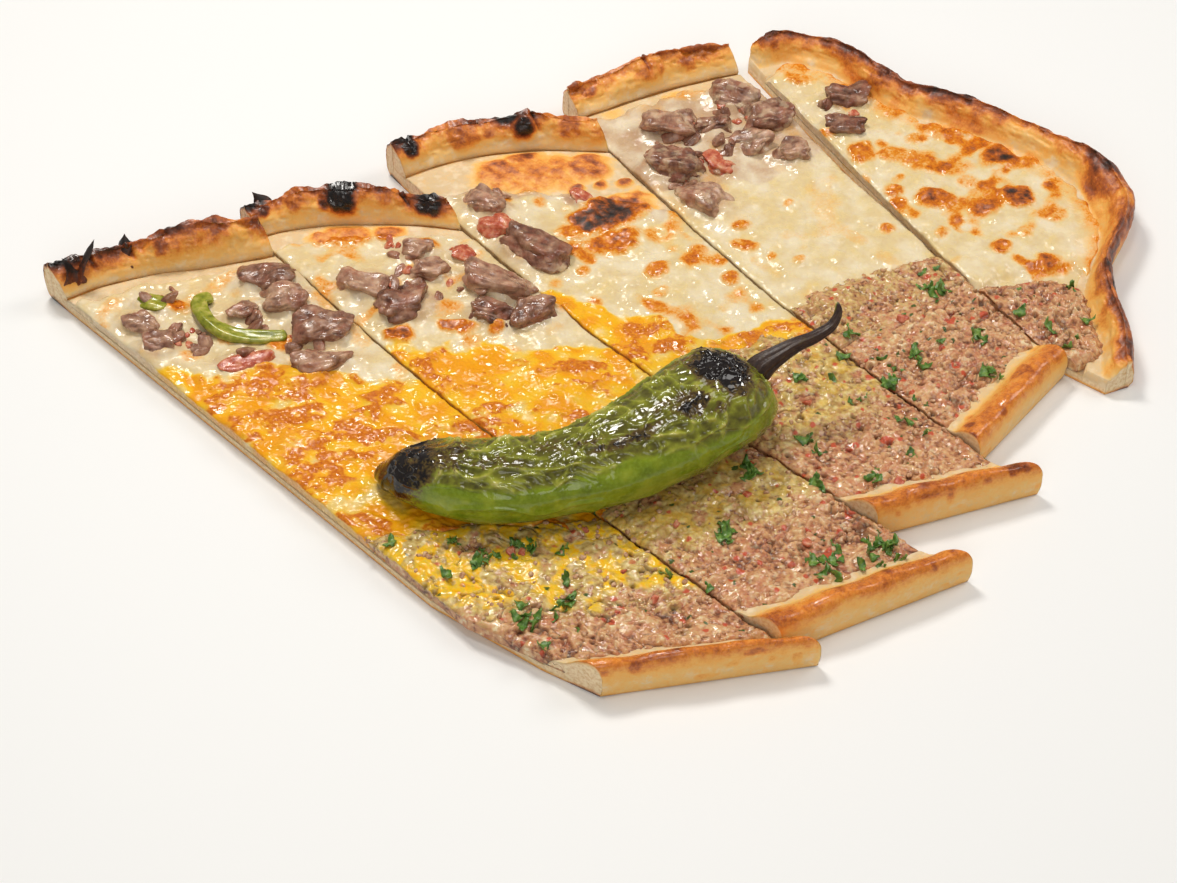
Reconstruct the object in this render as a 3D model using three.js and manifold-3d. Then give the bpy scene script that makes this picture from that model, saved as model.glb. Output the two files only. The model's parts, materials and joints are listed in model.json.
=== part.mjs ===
// Mixed Turkish pide: a flat oven bread cut crosswise into five slices that lie side by side, each
// pulled a little along its cut. A folded rim runs along both long edges, melted cheese and minced
// meat lie on the thin base between them, diced meat is scattered at the far side, and a roasted
// green pepper rests across the middle.
// Millimetres, +Z up. X runs along the bread, from the open cut to its rounded end, Y runs across it
// along the cuts, and the origin is under the middle of the whole on the surface that it rests on.

import * as THREE from "three";
import { mergeVertices } from "three/addons/utils/BufferGeometryUtils.js";
import Module from "manifold-3d";

const wasm = await Module();
wasm.setup();

// Driving dimensions.
const PLAN_CENTRE = [65.9, 26.6]; // middle of the whole, in the drawing frame of the cuts below
const KNIFE_GAP = 0.9; // clear width of a knife cut between two slices
const TOUCH_GAP = 0.35; // clearance between pieces that touch
const BASE_THICK = 3.4; // bread under the filling
const BARE_THICK = 6.4; // bread that no filling covers, which has puffed up
const CHEESE_TOP = 7.2; // mean level of the melted cheese
const CHEESE_RELIEF = 0.5;
const MINCE_TOP = 8.0; // mean level of the minced meat
const MINCE_RELIEF = 0.75;
const FAR_RIM_WIDTH = 11;
const NEAR_RIM_WIDTH = 11.5;
const RIM_CLEAR = 1.5; // bare strip between the filling and the foot of a rim
const LEAF_SIZE = 7; // a parsley leaf on the mince

const lerp = THREE.MathUtils.lerp;
const hump = (share, at, spread) => Math.exp(-(((share - at) / spread) ** 2));

// A knife cut as x of y: a slightly curved line whose near end is dragged aside by the blade.
function cut({ at, lean = 0, curl = 0, drag, dragFrom }) {
  return (y) => at + lean * y + curl * y * y + drag * Math.max(0, dragFrom - y);
}

const cuts = {
  open: cut({ at: -82.5, curl: -1e-5, drag: 0.28, dragFrom: -30 }),
  ab: cut({ at: -25, curl: 3.5e-4, drag: 0.5, dragFrom: -101 }),
  bc: cut({ at: 30, curl: 5e-4, drag: 0.4, dragFrom: -112 }),
  cd: cut({ at: 85.5, lean: 0.11, curl: 5e-4, drag: 0.5, dragFrom: -105 }),
  deLeft: cut({ at: 145.5, lean: 0.2, curl: 1e-4, drag: 0.3, dragFrom: -80 }),
  deRight: cut({ at: 147.9, lean: 0.24, curl: 2.2e-4, drag: 0.35, dragFrom: -80 }),
};

// The four slices with a rim at both ends: the cuts that bound them, y of the corners and the bulge of
// the far edge between them, height of the rims with a hump at a share of the width, and where cheese
// and mince begin, as shares of the length at the left and right cut.
const slices = {
  a: {
    left: cuts.open, right: cuts.ab, far: [177, 143], bulge: 2, near: [-75, -113],
    farRim: { height: 15.5, hump: 3, humpAt: 0.74 }, nearRim: { height: 13.5, hump: 0.8, humpAt: 0.6 },
    cheeseFrom: [0.075, 0.08], minceFrom: [0.64, 0.68],
  },
  b: {
    left: cuts.ab, right: cuts.bc, far: [153, 107], bulge: 7, near: [-102, -124],
    farRim: { height: 14.5, hump: 3.5, humpAt: 0.55 }, nearRim: { height: 14, hump: 0.8, humpAt: 0.4 },
    cheeseFrom: [0.085, 0.095], minceFrom: [0.71, 0.62],
  },
  c: {
    left: cuts.bc, right: cuts.cd, far: [141, 99], bulge: 8, near: [-92, -117],
    farRim: { height: 14.5, hump: 2.5, humpAt: 0.6 }, nearRim: { height: 14, hump: 0.6, humpAt: 0.5 },
    cheeseFrom: [0.12, 0.24], minceFrom: [0.62, 0.56],
  },
  d: {
    left: cuts.cd, right: cuts.deLeft, far: [119, 95], bulge: 3, near: [-96, -91],
    farRim: { height: 14.5, hump: 2, humpAt: 0.6 }, nearRim: { height: 13, hump: 0.5, humpAt: 0.5 },
    cheeseFrom: [0.09, 0.1], minceFrom: [0.6, 0.66],
  },
};

// The rounded end: its outer edge from the far tip round to the near tip, with the fold near its end.
const end = {
  cutY: [91, -108],
  edge: [
    [173, 91], [184.5, 84], [193, 74], [196, 58], [196, 40], [201, 22], [209, 1],
    [213, -23], [214, -42], [204, -62], [174, -75], [154, -98], [141, -111],
  ],
  rim: { width: 10, height: 14.5, fold: { at: 0.75, spread: 0.08, wide: 6, high: 2.5 } },
  cheese: { from: [0.07, 0.09], to: [0.69, 0.83] },
  mince: { from: [0.7, 0.84], to: [0.93, 0.93] },
};

// Rim sections from the outer foot over the crest to the inner foot, as shares of width and height.
const FAR_RIM = [
  [0.1, 0], [-0.02, 0.28], [-0.05, 0.62], [0.06, 0.9], [0.24, 1], [0.46, 0.9], [0.7, 0.66], [0.9, 0.5],
];
const NEAR_RIM = [
  [0.03, 0], [-0.03, 0.3], [-0.02, 0.66], [0.12, 0.92], [0.34, 1], [0.6, 0.96], [0.85, 0.8], [1, 0.52],
];

// Toppings of each slice as [name, x, y, length, width, height, turn in degrees].
const toppings = {
  a: [
    ["meat_a1", -30, 122, 16, 10, 7.5, -38],
    ["meat_a2", -31, 109.5, 15, 10, 8, -45],
    ["meat_a3", -32, 91, 16, 12, 8.5, -42],
    ["meat_a4", -44, 80, 18, 9, 7, -30],
    ["meat_a5", -73, 137, 10, 8, 6, -60],
    ["meat_a6", -75, 124, 12, 9, 6, -35],
    ["tomato_a1", -58, 98, 19, 7, 4.5, -40],
    ["meat_a7", -44, 117, 10, 7, 5.5, -20],
    ["pepper_a1", -65, 141, 11, 7, 4, -60],
  ],
  b: [
    ["meat_b1", -9, 97, 15, 9, 7, -62],
    ["meat_b2", -5, 80, 18, 11, 8, -35],
    ["meat_b3", 15, 97, 11, 8, 6, -50],
    ["meat_b4", 9, 87.5, 11, 7, 5.5, -30],
    ["meat_b5", 22, 67, 20, 10, 8, -70],
    ["meat_b6", 12, 57, 13, 8, 7.5, -60],
    ["meat_b7", 23, 48, 13, 9, 7, -30],
    ["tomato_b1", 25, 86, 8, 6, 4.5, -70],
  ],
  c: [
    ["meat_c1", 48, 98, 14, 10, 7.5, -75],
    ["tomato_c1", 42, 86, 11, 7, 5.5, -80],
    ["meat_c2", 42, 71, 19, 12, 8, -72],
    ["tomato_c2", 73, 76, 10, 5, 4, -80],
  ],
  d: [
    ["meat_d1", 120, 81, 16, 11, 7.5, -40],
    ["meat_d2", 148, 76, 15, 9, 7.5, -70],
    ["meat_d3", 132, 71, 10, 7, 6, -45],
    ["meat_d4", 107, 65, 18, 13, 8.5, -55],
    ["meat_d5", 103, 46, 15, 9, 7.5, -75],
    ["meat_d6", 150, 57, 17, 10, 8.5, -30],
    ["meat_d7", 134, 55, 14, 8, 7, -45],
    ["meat_d8", 141, 41, 12, 8, 6.5, -40],
    ["tomato_d1", 119, 56, 12, 7, 5, -60],
  ],
  e: [
    ["meat_e1", 177, 47, 14, 9, 8, -42],
    ["meat_e2", 166, 37, 12, 8, 6.5, -55],
  ],
};

// Parsley leaves on the mince of each slice, as [x, y].
const leaves = {
  a: [[-62, -16], [-52, -23], [-41, -30], [-57, -46], [-69, -41]],
  b: [[23, -53], [8, -92], [24, -98], [-4, -62]],
  c: [[63, -42], [68, -56], [42, -56], [47, -74], [74, -72]],
  d: [[124, -42], [121, -63], [111, -74], [97, -56]],
};

// The roasted pepper: middle line with half its width, from the pointed tip to the shoulder.
const pepperLine = [
  { at: [-62.4, 32], wide: 2.6 }, { at: [-60, 23], wide: 8.4 }, { at: [-55.8, 13.5], wide: 11.6 },
  { at: [-43, -5], wide: 14 }, { at: [-28, -16], wide: 14.6 }, { at: [-11, -24.8], wide: 16 },
  { at: [10, -30], wide: 18.2 }, { at: [28.5, -32.5], wide: 18 }, { at: [40, -33.5], wide: 12.5 },
  { at: [44.5, -34], wide: 5.5 },
];
const PEPPER_FLATNESS = 0.9; // height of its section over the width
const PEPPER_SAG = 0.9; // how far its underside is pressed flat

// Its stem, which rises from the shoulder and ends in a small hook.
const stemLine = [
  { at: [41, -34, 28.5], wide: 5.6 }, { at: [46, -36.5, 32.5], wide: 4.3 },
  { at: [53, -39.5, 35], wide: 3.2 }, { at: [59, -42, 36.2], wide: 2.8 },
  { at: [65, -43.5, 38], wide: 2.6 }, { at: [68.4, -43, 41], wide: 2.4 },
  { at: [69.4, -41.6, 44.6], wide: 1.6 },
];

// A curled strip of green pepper among the diced meat.
const curlLine = [
  { at: [-48.5, 129], wide: 2.2 }, { at: [-53.5, 130], wide: 2.6 }, { at: [-57.5, 121], wide: 2.8 },
  { at: [-56, 112], wide: 2.8 }, { at: [-50, 104], wide: 2.8 }, { at: [-42.5, 98], wide: 2 },
];
const CURL_FLATNESS = 0.9;

// Burnt shards of crust that stand up from the far corner of a slice: [x, y, height, lean x, lean y].
const shards = {
  a: [[-80, 170, 20, -3, 3], [-76, 170, 27, 5, -5], [-60, 165, 19.5, 4, 2]],
  b: [[-9, 149, 19, -3, 5]],
  c: [[46, 134, 18, -3, 5]],
};
const SHARD_WIDTH = 5;

// Closed solids.
function meshOf(points, faces) {
  const geometry = new THREE.BufferGeometry();
  geometry.setAttribute("position", new THREE.Float32BufferAttribute(points.flat(), 3));
  geometry.setIndex(faces.flat());
  return geometry;
}

function solidOf(geometry) {
  const bare = geometry.clone();
  bare.deleteAttribute("normal");
  bare.deleteAttribute("uv");
  const merged = mergeVertices(bare, 1e-4);
  return new wasm.Manifold(
    new wasm.Mesh({
      numProp: 3,
      vertProperties: new Float32Array(merged.attributes.position.array),
      triVerts: new Uint32Array(merged.index.array),
    }),
  );
}

function geometryOf(solid) {
  const { vertProperties, triVerts } = solid.getMesh();
  const geometry = new THREE.BufferGeometry();
  geometry.setAttribute("position", new THREE.BufferAttribute(vertProperties, 3));
  geometry.setIndex(new THREE.BufferAttribute(triVerts, 1));
  return geometry;
}

// One body of a base and the small pieces that grow out of it.
function fused(base, pieces) {
  return geometryOf(pieces.reduce((sum, piece) => sum.add(solidOf(piece)), solidOf(base)));
}

// Triangles that fill a flat outline of points [u, v], wound the way that the outline runs.
function fillOf(outline) {
  const flat = outline.map(([u, v]) => new THREE.Vector2(u, v));
  const along = Math.sign(THREE.ShapeUtils.area(flat));
  return THREE.ShapeUtils.triangulateShape(flat, []).map(([a, b, c]) => {
    const turn = Math.sign(THREE.ShapeUtils.area([flat[a], flat[b], flat[c]]));
    return turn === along ? [a, b, c] : [a, c, b];
  });
}

// A solid lofted through sections, each a closed list of [d, z] that place(k, d, z) puts in space.
// Its first and last section are capped one part at a time, each part a list of section points.
function loft(sections, place, parts) {
  const count = sections[0].length;
  const points = sections.flatMap((section, k) => section.map(([d, z]) => place(k, d, z)));
  const faces = [];
  for (let k = 0; k + 1 < sections.length; k++) {
    for (let i = 0; i < count; i++) {
      const a = k * count + i;
      const b = k * count + ((i + 1) % count);
      faces.push([a, a + count, b], [b, a + count, b + count]);
    }
  }
  const last = sections.length - 1;
  for (const k of [0, last]) {
    for (const part of parts) {
      for (const triangle of fillOf(part.map((i) => sections[k][i]))) {
        const [a, b, c] = triangle.map((i) => k * count + part[i]);
        faces.push(k ? [c, b, a] : [a, b, c]);
      }
    }
  }
  return meshOf(points, volumeOf(points, faces) < 0 ? faces.map(([a, b, c]) => [a, c, b]) : faces);
}

function volumeOf(points, faces) {
  return faces.reduce((sum, [a, b, c]) => {
    const [p, q, r] = [points[a], points[b], points[c]].map((v) => new THREE.Vector3(...v));
    return sum + p.dot(q.cross(r)) / 6;
  }, 0);
}

// A rod along stations { at, wide, tall }, with a point at each end and no part below the floor given.
function rod(stations, { rings, sides, floor, shape = () => 1 }) {
  const line = new THREE.CatmullRomCurve3(stations.map(({ at }) => new THREE.Vector3(...at)));
  const girth = new THREE.CatmullRomCurve3(
    stations.map(({ wide, tall }) => new THREE.Vector3(wide, tall, 0)),
  );
  const points = [line.getPoint(0), line.getPoint(1)];
  const faces = [];
  for (let k = 0; k < rings; k++) {
    const t = (k + 0.5) / rings;
    const middle = line.getPoint(t);
    const ahead = line.getTangent(t);
    const aside = new THREE.Vector3(-ahead.y, ahead.x, 0).normalize();
    const up = new THREE.Vector3().crossVectors(ahead, aside);
    const half = girth.getPoint(t);
    for (let i = 0; i < sides; i++) {
      const angle = (2 * Math.PI * i) / sides;
      const reach = shape(t, angle);
      const point = middle
        .clone()
        .addScaledVector(aside, half.x * reach * Math.cos(angle))
        .addScaledVector(up, half.y * reach * Math.sin(angle));
      points.push(point.setZ(Math.max(point.z, floor)));
    }
  }
  const at = (k, i) => 2 + k * sides + (i % sides);
  for (let i = 0; i < sides; i++) {
    for (let k = 0; k + 1 < rings; k++) {
      const [a, b, c, d] = [at(k, i), at(k, i + 1), at(k + 1, i + 1), at(k + 1, i)];
      faces.push([a, b, c], [a, c, d]);
    }
    faces.push([0, at(0, i + 1), at(0, i)], [1, at(rings - 1, i), at(rings - 1, i + 1)]);
  }
  const list = points.map((p) => p.toArray());
  return meshOf(list, volumeOf(list, faces) < 0 ? faces.map(([a, b, c]) => [a, c, b]) : faces);
}

// Plan position in slice at share u of its length, from the far edge, and share v of its width.
function planOf(slice, u, v) {
  const bulge = slice.bulge * Math.sin(Math.PI * v) * (1 - u);
  const yLeft = lerp(slice.far[0], slice.near[0], u);
  const yRight = lerp(slice.far[1], slice.near[1], u);
  const xLeft = slice.left(yLeft) + KNIFE_GAP / 2;
  const xRight = slice.right(yRight) - KNIFE_GAP / 2;
  return [lerp(xLeft, xRight, v), lerp(yLeft, yRight, v) + bulge];
}

function lengthOf(slice, v) {
  const [x0, y0] = planOf(slice, 0, v);
  const [x1, y1] = planOf(slice, 1, v);
  return Math.hypot(x1 - x0, y1 - y0);
}

function rimHeight(rim, v) {
  const ripple = 0.5 * Math.sin(17 * v + rim.height);
  return rim.height + rim.hump * hump(v, rim.humpAt, 0.22) + ripple;
}

// The bread of a slice: base and both rims, lofted from the left cut to the right cut.
function breadOf(slice) {
  const steps = 7;
  const floorSteps = 6;
  const sections = [];
  for (let k = 0; k <= steps; k++) {
    const v = k / steps;
    const length = lengthOf(slice, v);
    const farHeight = rimHeight(slice.farRim, v);
    const nearHeight = rimHeight(slice.nearRim, v);
    const bareTo = length * lerp(slice.cheeseFrom[0], slice.cheeseFrom[1], v) - 1.5;
    const floor = Array.from({ length: floorSteps + 1 }, (_, i) =>
      lerp(bareTo + 1, length - NEAR_RIM_WIDTH - 0.2, i / floorSteps),
    );
    sections.push([
      ...FAR_RIM.map(([d, z]) => [d * FAR_RIM_WIDTH, z * farHeight]),
      [FAR_RIM_WIDTH, BARE_THICK],
      [bareTo, BARE_THICK - 0.4],
      ...floor.map((d) => [d, BASE_THICK]),
      ...NEAR_RIM.map(([d, z]) => [length - d * NEAR_RIM_WIDTH, z * nearHeight]).reverse(),
      ...floor.map((d) => [d, 0]).reverse(),
    ]);
  }
  const floorAt = FAR_RIM.length + 2;
  const nearAt = floorAt + floorSteps + 1;
  const underAt = nearAt + NEAR_RIM.length;
  const range = (from, to) => Array.from({ length: to - from }, (_, i) => from + i);
  const under = (i) => underAt + floorSteps - i;
  const parts = [
    [...range(0, floorAt + 1), under(0)],
    ...range(0, floorSteps).map((i) => [floorAt + i, floorAt + i + 1, under(i + 1), under(i)]),
    [floorAt + floorSteps, ...range(nearAt, underAt), under(floorSteps)],
  ];
  const place = (k, d, z) => {
    const v = k / steps;
    return [...planOf(slice, d / lengthOf(slice, v), v), z];
  };
  return loft(sections, place, parts);
}

const endEdge = new THREE.CatmullRomCurve3(end.edge.map(([x, y]) => new THREE.Vector3(x, y, 0)));

// The rounded end is crossed from the cut to its outer edge: u from the far tip, v from the cut.
function endPlanOf(u, v) {
  const y = lerp(end.cutY[0], end.cutY[1], u);
  const x = cuts.deRight(y) + KNIFE_GAP / 2;
  const edge = endEdge.getPoint(u);
  return [lerp(x, edge.x, v), lerp(y, edge.y, v)];
}

function endWidthOf(u) {
  const [x0, y0] = endPlanOf(u, 0);
  const [x1, y1] = endPlanOf(u, 1);
  return Math.hypot(x1 - x0, y1 - y0);
}

function endRimWidth(u) {
  const { at, spread, wide } = end.rim.fold;
  return Math.min(end.rim.width + wide * hump(u, at, spread), 0.8 * endWidthOf(u));
}

// The bread of the rounded end: one rim along its outer edge, lofted from the far to the near tip.
function endBread() {
  const steps = 22;
  const tip = 0.015;
  const shareOf = (k) => lerp(tip, 1 - tip, k / steps);
  const sections = [];
  for (let k = 0; k <= steps; k++) {
    const u = shareOf(k);
    const width = endWidthOf(u);
    const rim = endRimWidth(u);
    const { at, spread, high } = end.rim.fold;
    const ripple = 0.8 * Math.sin(31 * u);
    const height = end.rim.height * Math.min(1, 0.6 + width / 40) + high * hump(u, at, spread) + ripple;
    sections.push([
      [0, 0],
      [0, BASE_THICK],
      [width - rim - 0.2, BASE_THICK],
      ...FAR_RIM.map(([d, z]) => [width - d * rim, z * height]).reverse(),
    ]);
  }
  const whole = sections[0].map((_, i) => i);
  const place = (k, d, z) => [...endPlanOf(shareOf(k), d / endWidthOf(shareOf(k))), z];
  return loft(sections, place, [whole]);
}

// A burnt shard: a narrow horn of crust that leans out of the rim.
function shardOf([x, y, height, leanX, leanY]) {
  const foot = 8;
  const half = SHARD_WIDTH / 2;
  const middle = [x + 0.4 * leanX, y + 0.4 * leanY, lerp(foot, height, 0.6)];
  return rod(
    [
      { at: [x, y, foot], wide: half, tall: half },
      { at: middle, wide: 0.7 * half, tall: 0.5 * half },
      { at: [x + leanX, y + leanY, height], wide: 0.2 * half, tall: 0.2 * half },
    ],
    { rings: 4, sides: 5, floor: foot - half },
  );
}

// Relief of the filling at a point: broad swells on cheese, close lumps on mince.
function cheeseLevel(x, y) {
  const swell = Math.sin(0.19 * x + 1.3 * Math.sin(0.11 * y)) * Math.sin(0.23 * y + 0.7);
  const blister = Math.sin(0.47 * x - 0.31 * y) * Math.sin(0.39 * y + 0.21 * x);
  return CHEESE_TOP + CHEESE_RELIEF * (0.6 * swell + 0.4 * blister);
}

function minceLevel(x, y) {
  const lumps = Math.sin(0.83 * x + 0.6 * Math.sin(0.5 * y)) * Math.sin(0.91 * y - 0.4 * Math.sin(0.7 * x));
  const swell = Math.sin(0.21 * x + 0.17 * y);
  return MINCE_TOP + MINCE_RELIEF * (0.7 * lumps + 0.3 * swell);
}

// A layer of filling: place(i, j) gives the plan of a grid whose rows run from the left cut to the
// right, and level its top. Its underside is flat and clear of the base.
function layerOf(place, level, rows, columns) {
  const points = [];
  const faces = [];
  const top = (i, j) => i * (columns + 1) + j;
  for (let i = 0; i <= rows; i++) {
    for (let j = 0; j <= columns; j++) {
      const [x, y] = place(i / rows, j / columns);
      points.push([x, y, level(x, y)]);
    }
  }
  const left = (i) => top(rows, columns) + 1 + 2 * i;
  const right = (i) => left(i) + 1;
  for (let i = 0; i <= rows; i++) {
    for (const j of [0, columns]) {
      const [x, y] = points[top(i, j)];
      points.push([x, y, BASE_THICK + TOUCH_GAP]);
    }
  }
  for (let i = 0; i < rows; i++) {
    for (let j = 0; j < columns; j++) {
      const [a, b, c, d] = [top(i, j), top(i + 1, j), top(i + 1, j + 1), top(i, j + 1)];
      faces.push([a, b, c], [a, c, d]);
    }
    faces.push([top(i + 1, 0), top(i, 0), left(i)], [top(i + 1, 0), left(i), left(i + 1)]);
    faces.push([top(i, columns), top(i + 1, columns), right(i + 1)]);
    faces.push([top(i, columns), right(i + 1), right(i)]);
    faces.push([left(i), right(i), right(i + 1)], [left(i), right(i + 1), left(i + 1)]);
  }
  for (let j = 0; j < columns; j++) {
    faces.push([top(0, j), top(0, j + 1), left(0)]);
    faces.push([top(rows, j + 1), top(rows, j), left(rows)]);
  }
  faces.push([top(0, columns), right(0), left(0)], [right(rows), top(rows, columns), left(rows)]);
  return meshOf(points, faces);
}

// A filling layer between two sloping lines, each given as shares at the left and right cut.
function sliceLayer(slice, from, to, level, rows, columns) {
  const place = (i, j) => {
    const u = lerp(lerp(from[0], from[1], j), lerp(to[0], to[1], j), i);
    return planOf(slice, u, j);
  };
  return layerOf(place, level, rows, columns);
}

function endLayer({ from, to }, level, rows, columns) {
  const place = (i, j) => {
    const u = lerp(lerp(from[0], from[1], j), lerp(to[0], to[1], j), i);
    const width = endWidthOf(u);
    return endPlanOf(u, (j * (width - endRimWidth(u) - RIM_CLEAR)) / width);
  };
  return layerOf(place, level, rows, columns);
}

// Shares of the length where the mince ends, at the foot of the near rim.
function minceEnd(slice) {
  return [0, 1].map((v) => 1 - (NEAR_RIM_WIDTH + RIM_CLEAR) / lengthOf(slice, v));
}

// Level that a topping lies on: the cheese, or the puffed bread on the far side of it.
function bedUnder(slice, x, y) {
  const restsOnCheese = CHEESE_TOP + CHEESE_RELIEF + TOUCH_GAP;
  if (!slice) {
    return restsOnCheese;
  }
  const v = (x - slice.left(y)) / (slice.right(y) - slice.left(y));
  const u = (lerp(slice.far[0], slice.far[1], v) - y) / lengthOf(slice, v);
  const bareTo = lerp(slice.cheeseFrom[0], slice.cheeseFrom[1], v) - 0.03;
  return u < bareTo ? BARE_THICK + TOUCH_GAP : restsOnCheese;
}

// A dice of food: a rounded block with uneven faces and a flat underside.
function diceOf(bed, x, y, long, wide, tall, turn) {
  const block = new THREE.IcosahedronGeometry(1, 1);
  const { position } = block.attributes;
  const squareness = 0.72;
  const seed = x + 2.3 * y;
  const angle = THREE.MathUtils.degToRad(turn);
  for (let i = 0; i < position.count; i++) {
    const [px, py, pz] = [position.getX(i), position.getY(i), position.getZ(i)];
    const uneven = 1 + 0.13 * Math.sin(3.3 * px + seed) * Math.sin(2.9 * py + 1.7 * pz + 0.6 * seed);
    const squared = (p) => Math.sign(p) * Math.abs(p) ** squareness;
    const u = (squared(px) * uneven * long) / 2;
    const v = (squared(py) * uneven * wide) / 2;
    const w = Math.max(0, (0.42 + 0.5 * squared(pz) * uneven) * tall);
    position.setXYZ(
      i,
      x + u * Math.cos(angle) - v * Math.sin(angle),
      y + u * Math.sin(angle) + v * Math.cos(angle),
      bed + w,
    );
  }
  return block;
}

// A parsley leaf: three lobes on a wavy blade, which grows out of the mince that it sticks to.
function leafOf(x, y) {
  const lobes = 3;
  const corners = 4 * lobes;
  const turn = x + y;
  const foot = MINCE_TOP - MINCE_RELIEF - 0.3;
  const top = MINCE_TOP + MINCE_RELIEF + 0.5;
  const blade = [foot, top].map((level) =>
    Array.from({ length: corners }, (_, i) => {
      const angle = (2 * Math.PI * i) / corners;
      const reach = (LEAF_SIZE / 2) * (0.72 + 0.28 * Math.cos(lobes * angle));
      const wave = level === top ? 0.35 * Math.sin(2 * angle + turn) : 0;
      return [x + reach * Math.cos(angle + turn), y + reach * Math.sin(angle + turn), level + wave];
    }),
  );
  const points = [...blade.flat(), [x, y, foot], [x, y, top]];
  const [under, over] = [2 * corners, 2 * corners + 1];
  const faces = [];
  for (let i = 0; i < corners; i++) {
    const next = (i + 1) % corners;
    faces.push([under, next, i], [over, corners + i, corners + next]);
    faces.push([i, next, corners + next], [i, corners + next, corners + i]);
  }
  return meshOf(points, faces);
}

// The roasted pepper, with three soft lobes and its underside pressed flat on the filling.
function roastedPepper() {
  const rest = MINCE_TOP + MINCE_RELIEF + TOUCH_GAP;
  const stations = pepperLine.map(({ at, wide }) => {
    const tall = PEPPER_FLATNESS * wide;
    return { at: [...at, rest - PEPPER_SAG + tall], wide, tall };
  });
  const shape = (t, angle) => {
    const lobes = 0.035 * Math.cos(3 * angle + 4 * t);
    const dents = 0.02 * Math.sin(23 * t + 2 * angle);
    return 1 + lobes + dents;
  };
  const flesh = solidOf(rod(stations, { rings: 22, sides: 20, floor: rest, shape }));
  return geometryOf(flesh.subtract(solidOf(pepperStem(TOUCH_GAP))));
}

// The stem, or with swell the hollow that it sits in.
function pepperStem(swell = 0) {
  const stations = stemLine.map(({ at: [x, y, z], wide }, i) => {
    const back = i ? 0 : swell;
    return { at: [x - back, y + back, z - back], wide: wide + swell, tall: wide + swell };
  });
  return rod(stations, { rings: 14, sides: 8, floor: 0 });
}

function pepperCurl() {
  const rest = CHEESE_TOP + CHEESE_RELIEF + TOUCH_GAP;
  const stations = curlLine.map(({ at, wide }) => {
    const tall = CURL_FLATNESS * wide;
    return { at: [...at, rest + 0.8 * tall], wide, tall };
  });
  return rod(stations, { rings: 14, sides: 8, floor: rest });
}

const finishes = {
  bread: { color: 0xdcae6c, roughness: 0.6, metalness: 0 },
  cheese: { color: 0xe8b13c, roughness: 0.35, metalness: 0 },
  mince: { color: 0x9a6a52, roughness: 0.5, metalness: 0 },
  meat: { color: 0x7a564b, roughness: 0.45, metalness: 0 },
  tomato: { color: 0xc4563c, roughness: 0.35, metalness: 0 },
  pepper: { color: 0x5f8a24, roughness: 0.25, metalness: 0 },
  stem: { color: 0x3a3626, roughness: 0.5, metalness: 0 },
};

const group = new THREE.Group();
group.position.set(-PLAN_CENTRE[0], -PLAN_CENTRE[1], 0);

function add(name, geometry, finish) {
  const mesh = new THREE.Mesh(geometry, new THREE.MeshStandardMaterial(finishes[finish]));
  mesh.name = name;
  group.add(mesh);
}

function addSlice(key, slice) {
  const clear = TOUCH_GAP / lengthOf(slice, 0.5);
  const cheeseTo = slice.minceFrom.map((u) => u - clear);
  const mince = sliceLayer(slice, slice.minceFrom, minceEnd(slice), minceLevel, 18, 13);
  const shardsHere = (shards[key] ?? []).map(shardOf);
  add(`bread_${key}`, fused(breadOf(slice), shardsHere), "bread");
  add(`cheese_${key}`, sliceLayer(slice, slice.cheeseFrom, cheeseTo, cheeseLevel, 16, 6), "cheese");
  add(`mince_${key}`, fused(mince, leaves[key].map(([x, y]) => leafOf(x, y))), "mince");
}

function addToppings(key) {
  for (const [name, x, y, ...size] of toppings[key]) {
    add(name, diceOf(bedUnder(slices[key], x, y), x, y, ...size), name.split("_")[0]);
  }
}

Object.entries(slices).forEach(([key, slice]) => addSlice(key, slice));
add("bread_e", endBread(), "bread");
add("cheese_e", endLayer(end.cheese, cheeseLevel, 16, 5), "cheese");
add("mince_e", endLayer(end.mince, minceLevel, 10, 9), "mince");
Object.keys(toppings).forEach(addToppings);
add("pepper_curl", pepperCurl(), "pepper");
add("roasted_pepper", roastedPepper(), "pepper");
add("pepper_stem", pepperStem(), "stem");

export default group;
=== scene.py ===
import itertools
import json
import math

import bpy
import numpy as np
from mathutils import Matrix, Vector

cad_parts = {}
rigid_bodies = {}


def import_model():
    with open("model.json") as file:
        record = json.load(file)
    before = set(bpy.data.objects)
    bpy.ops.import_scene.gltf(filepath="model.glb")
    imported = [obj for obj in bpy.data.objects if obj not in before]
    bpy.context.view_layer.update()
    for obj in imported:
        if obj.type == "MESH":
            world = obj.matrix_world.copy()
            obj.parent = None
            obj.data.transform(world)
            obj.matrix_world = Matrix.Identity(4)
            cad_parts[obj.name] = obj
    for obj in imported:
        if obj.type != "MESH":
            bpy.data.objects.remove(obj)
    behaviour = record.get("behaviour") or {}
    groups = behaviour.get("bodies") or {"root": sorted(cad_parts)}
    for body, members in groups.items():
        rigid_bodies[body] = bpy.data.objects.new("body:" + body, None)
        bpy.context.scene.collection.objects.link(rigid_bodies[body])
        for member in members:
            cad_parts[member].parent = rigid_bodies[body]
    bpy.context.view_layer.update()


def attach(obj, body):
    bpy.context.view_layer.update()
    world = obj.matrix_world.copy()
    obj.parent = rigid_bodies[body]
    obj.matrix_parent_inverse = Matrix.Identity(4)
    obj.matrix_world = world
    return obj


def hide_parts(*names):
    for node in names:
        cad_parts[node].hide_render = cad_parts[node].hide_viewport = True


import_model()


# The table, the light and the eye: a plain pale floor, a soft light high on the far left as from a window,
# weaker ones above, at the right and in front as from white cards, and a pale room. The eye looks down on
# the bread at a slant to its cuts.
MM = 0.001  # every size below is in millimetres
PLAN_CENTRE = np.array([65.9, 26.6, 0.0])  # middle of the whole, in the drawing frame of the cuts
EYE_DISTANCE = 850
EYE_CLIMB = math.radians(48)
EYE_SIDE = math.radians(45)  # to the left of straight in front
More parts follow.
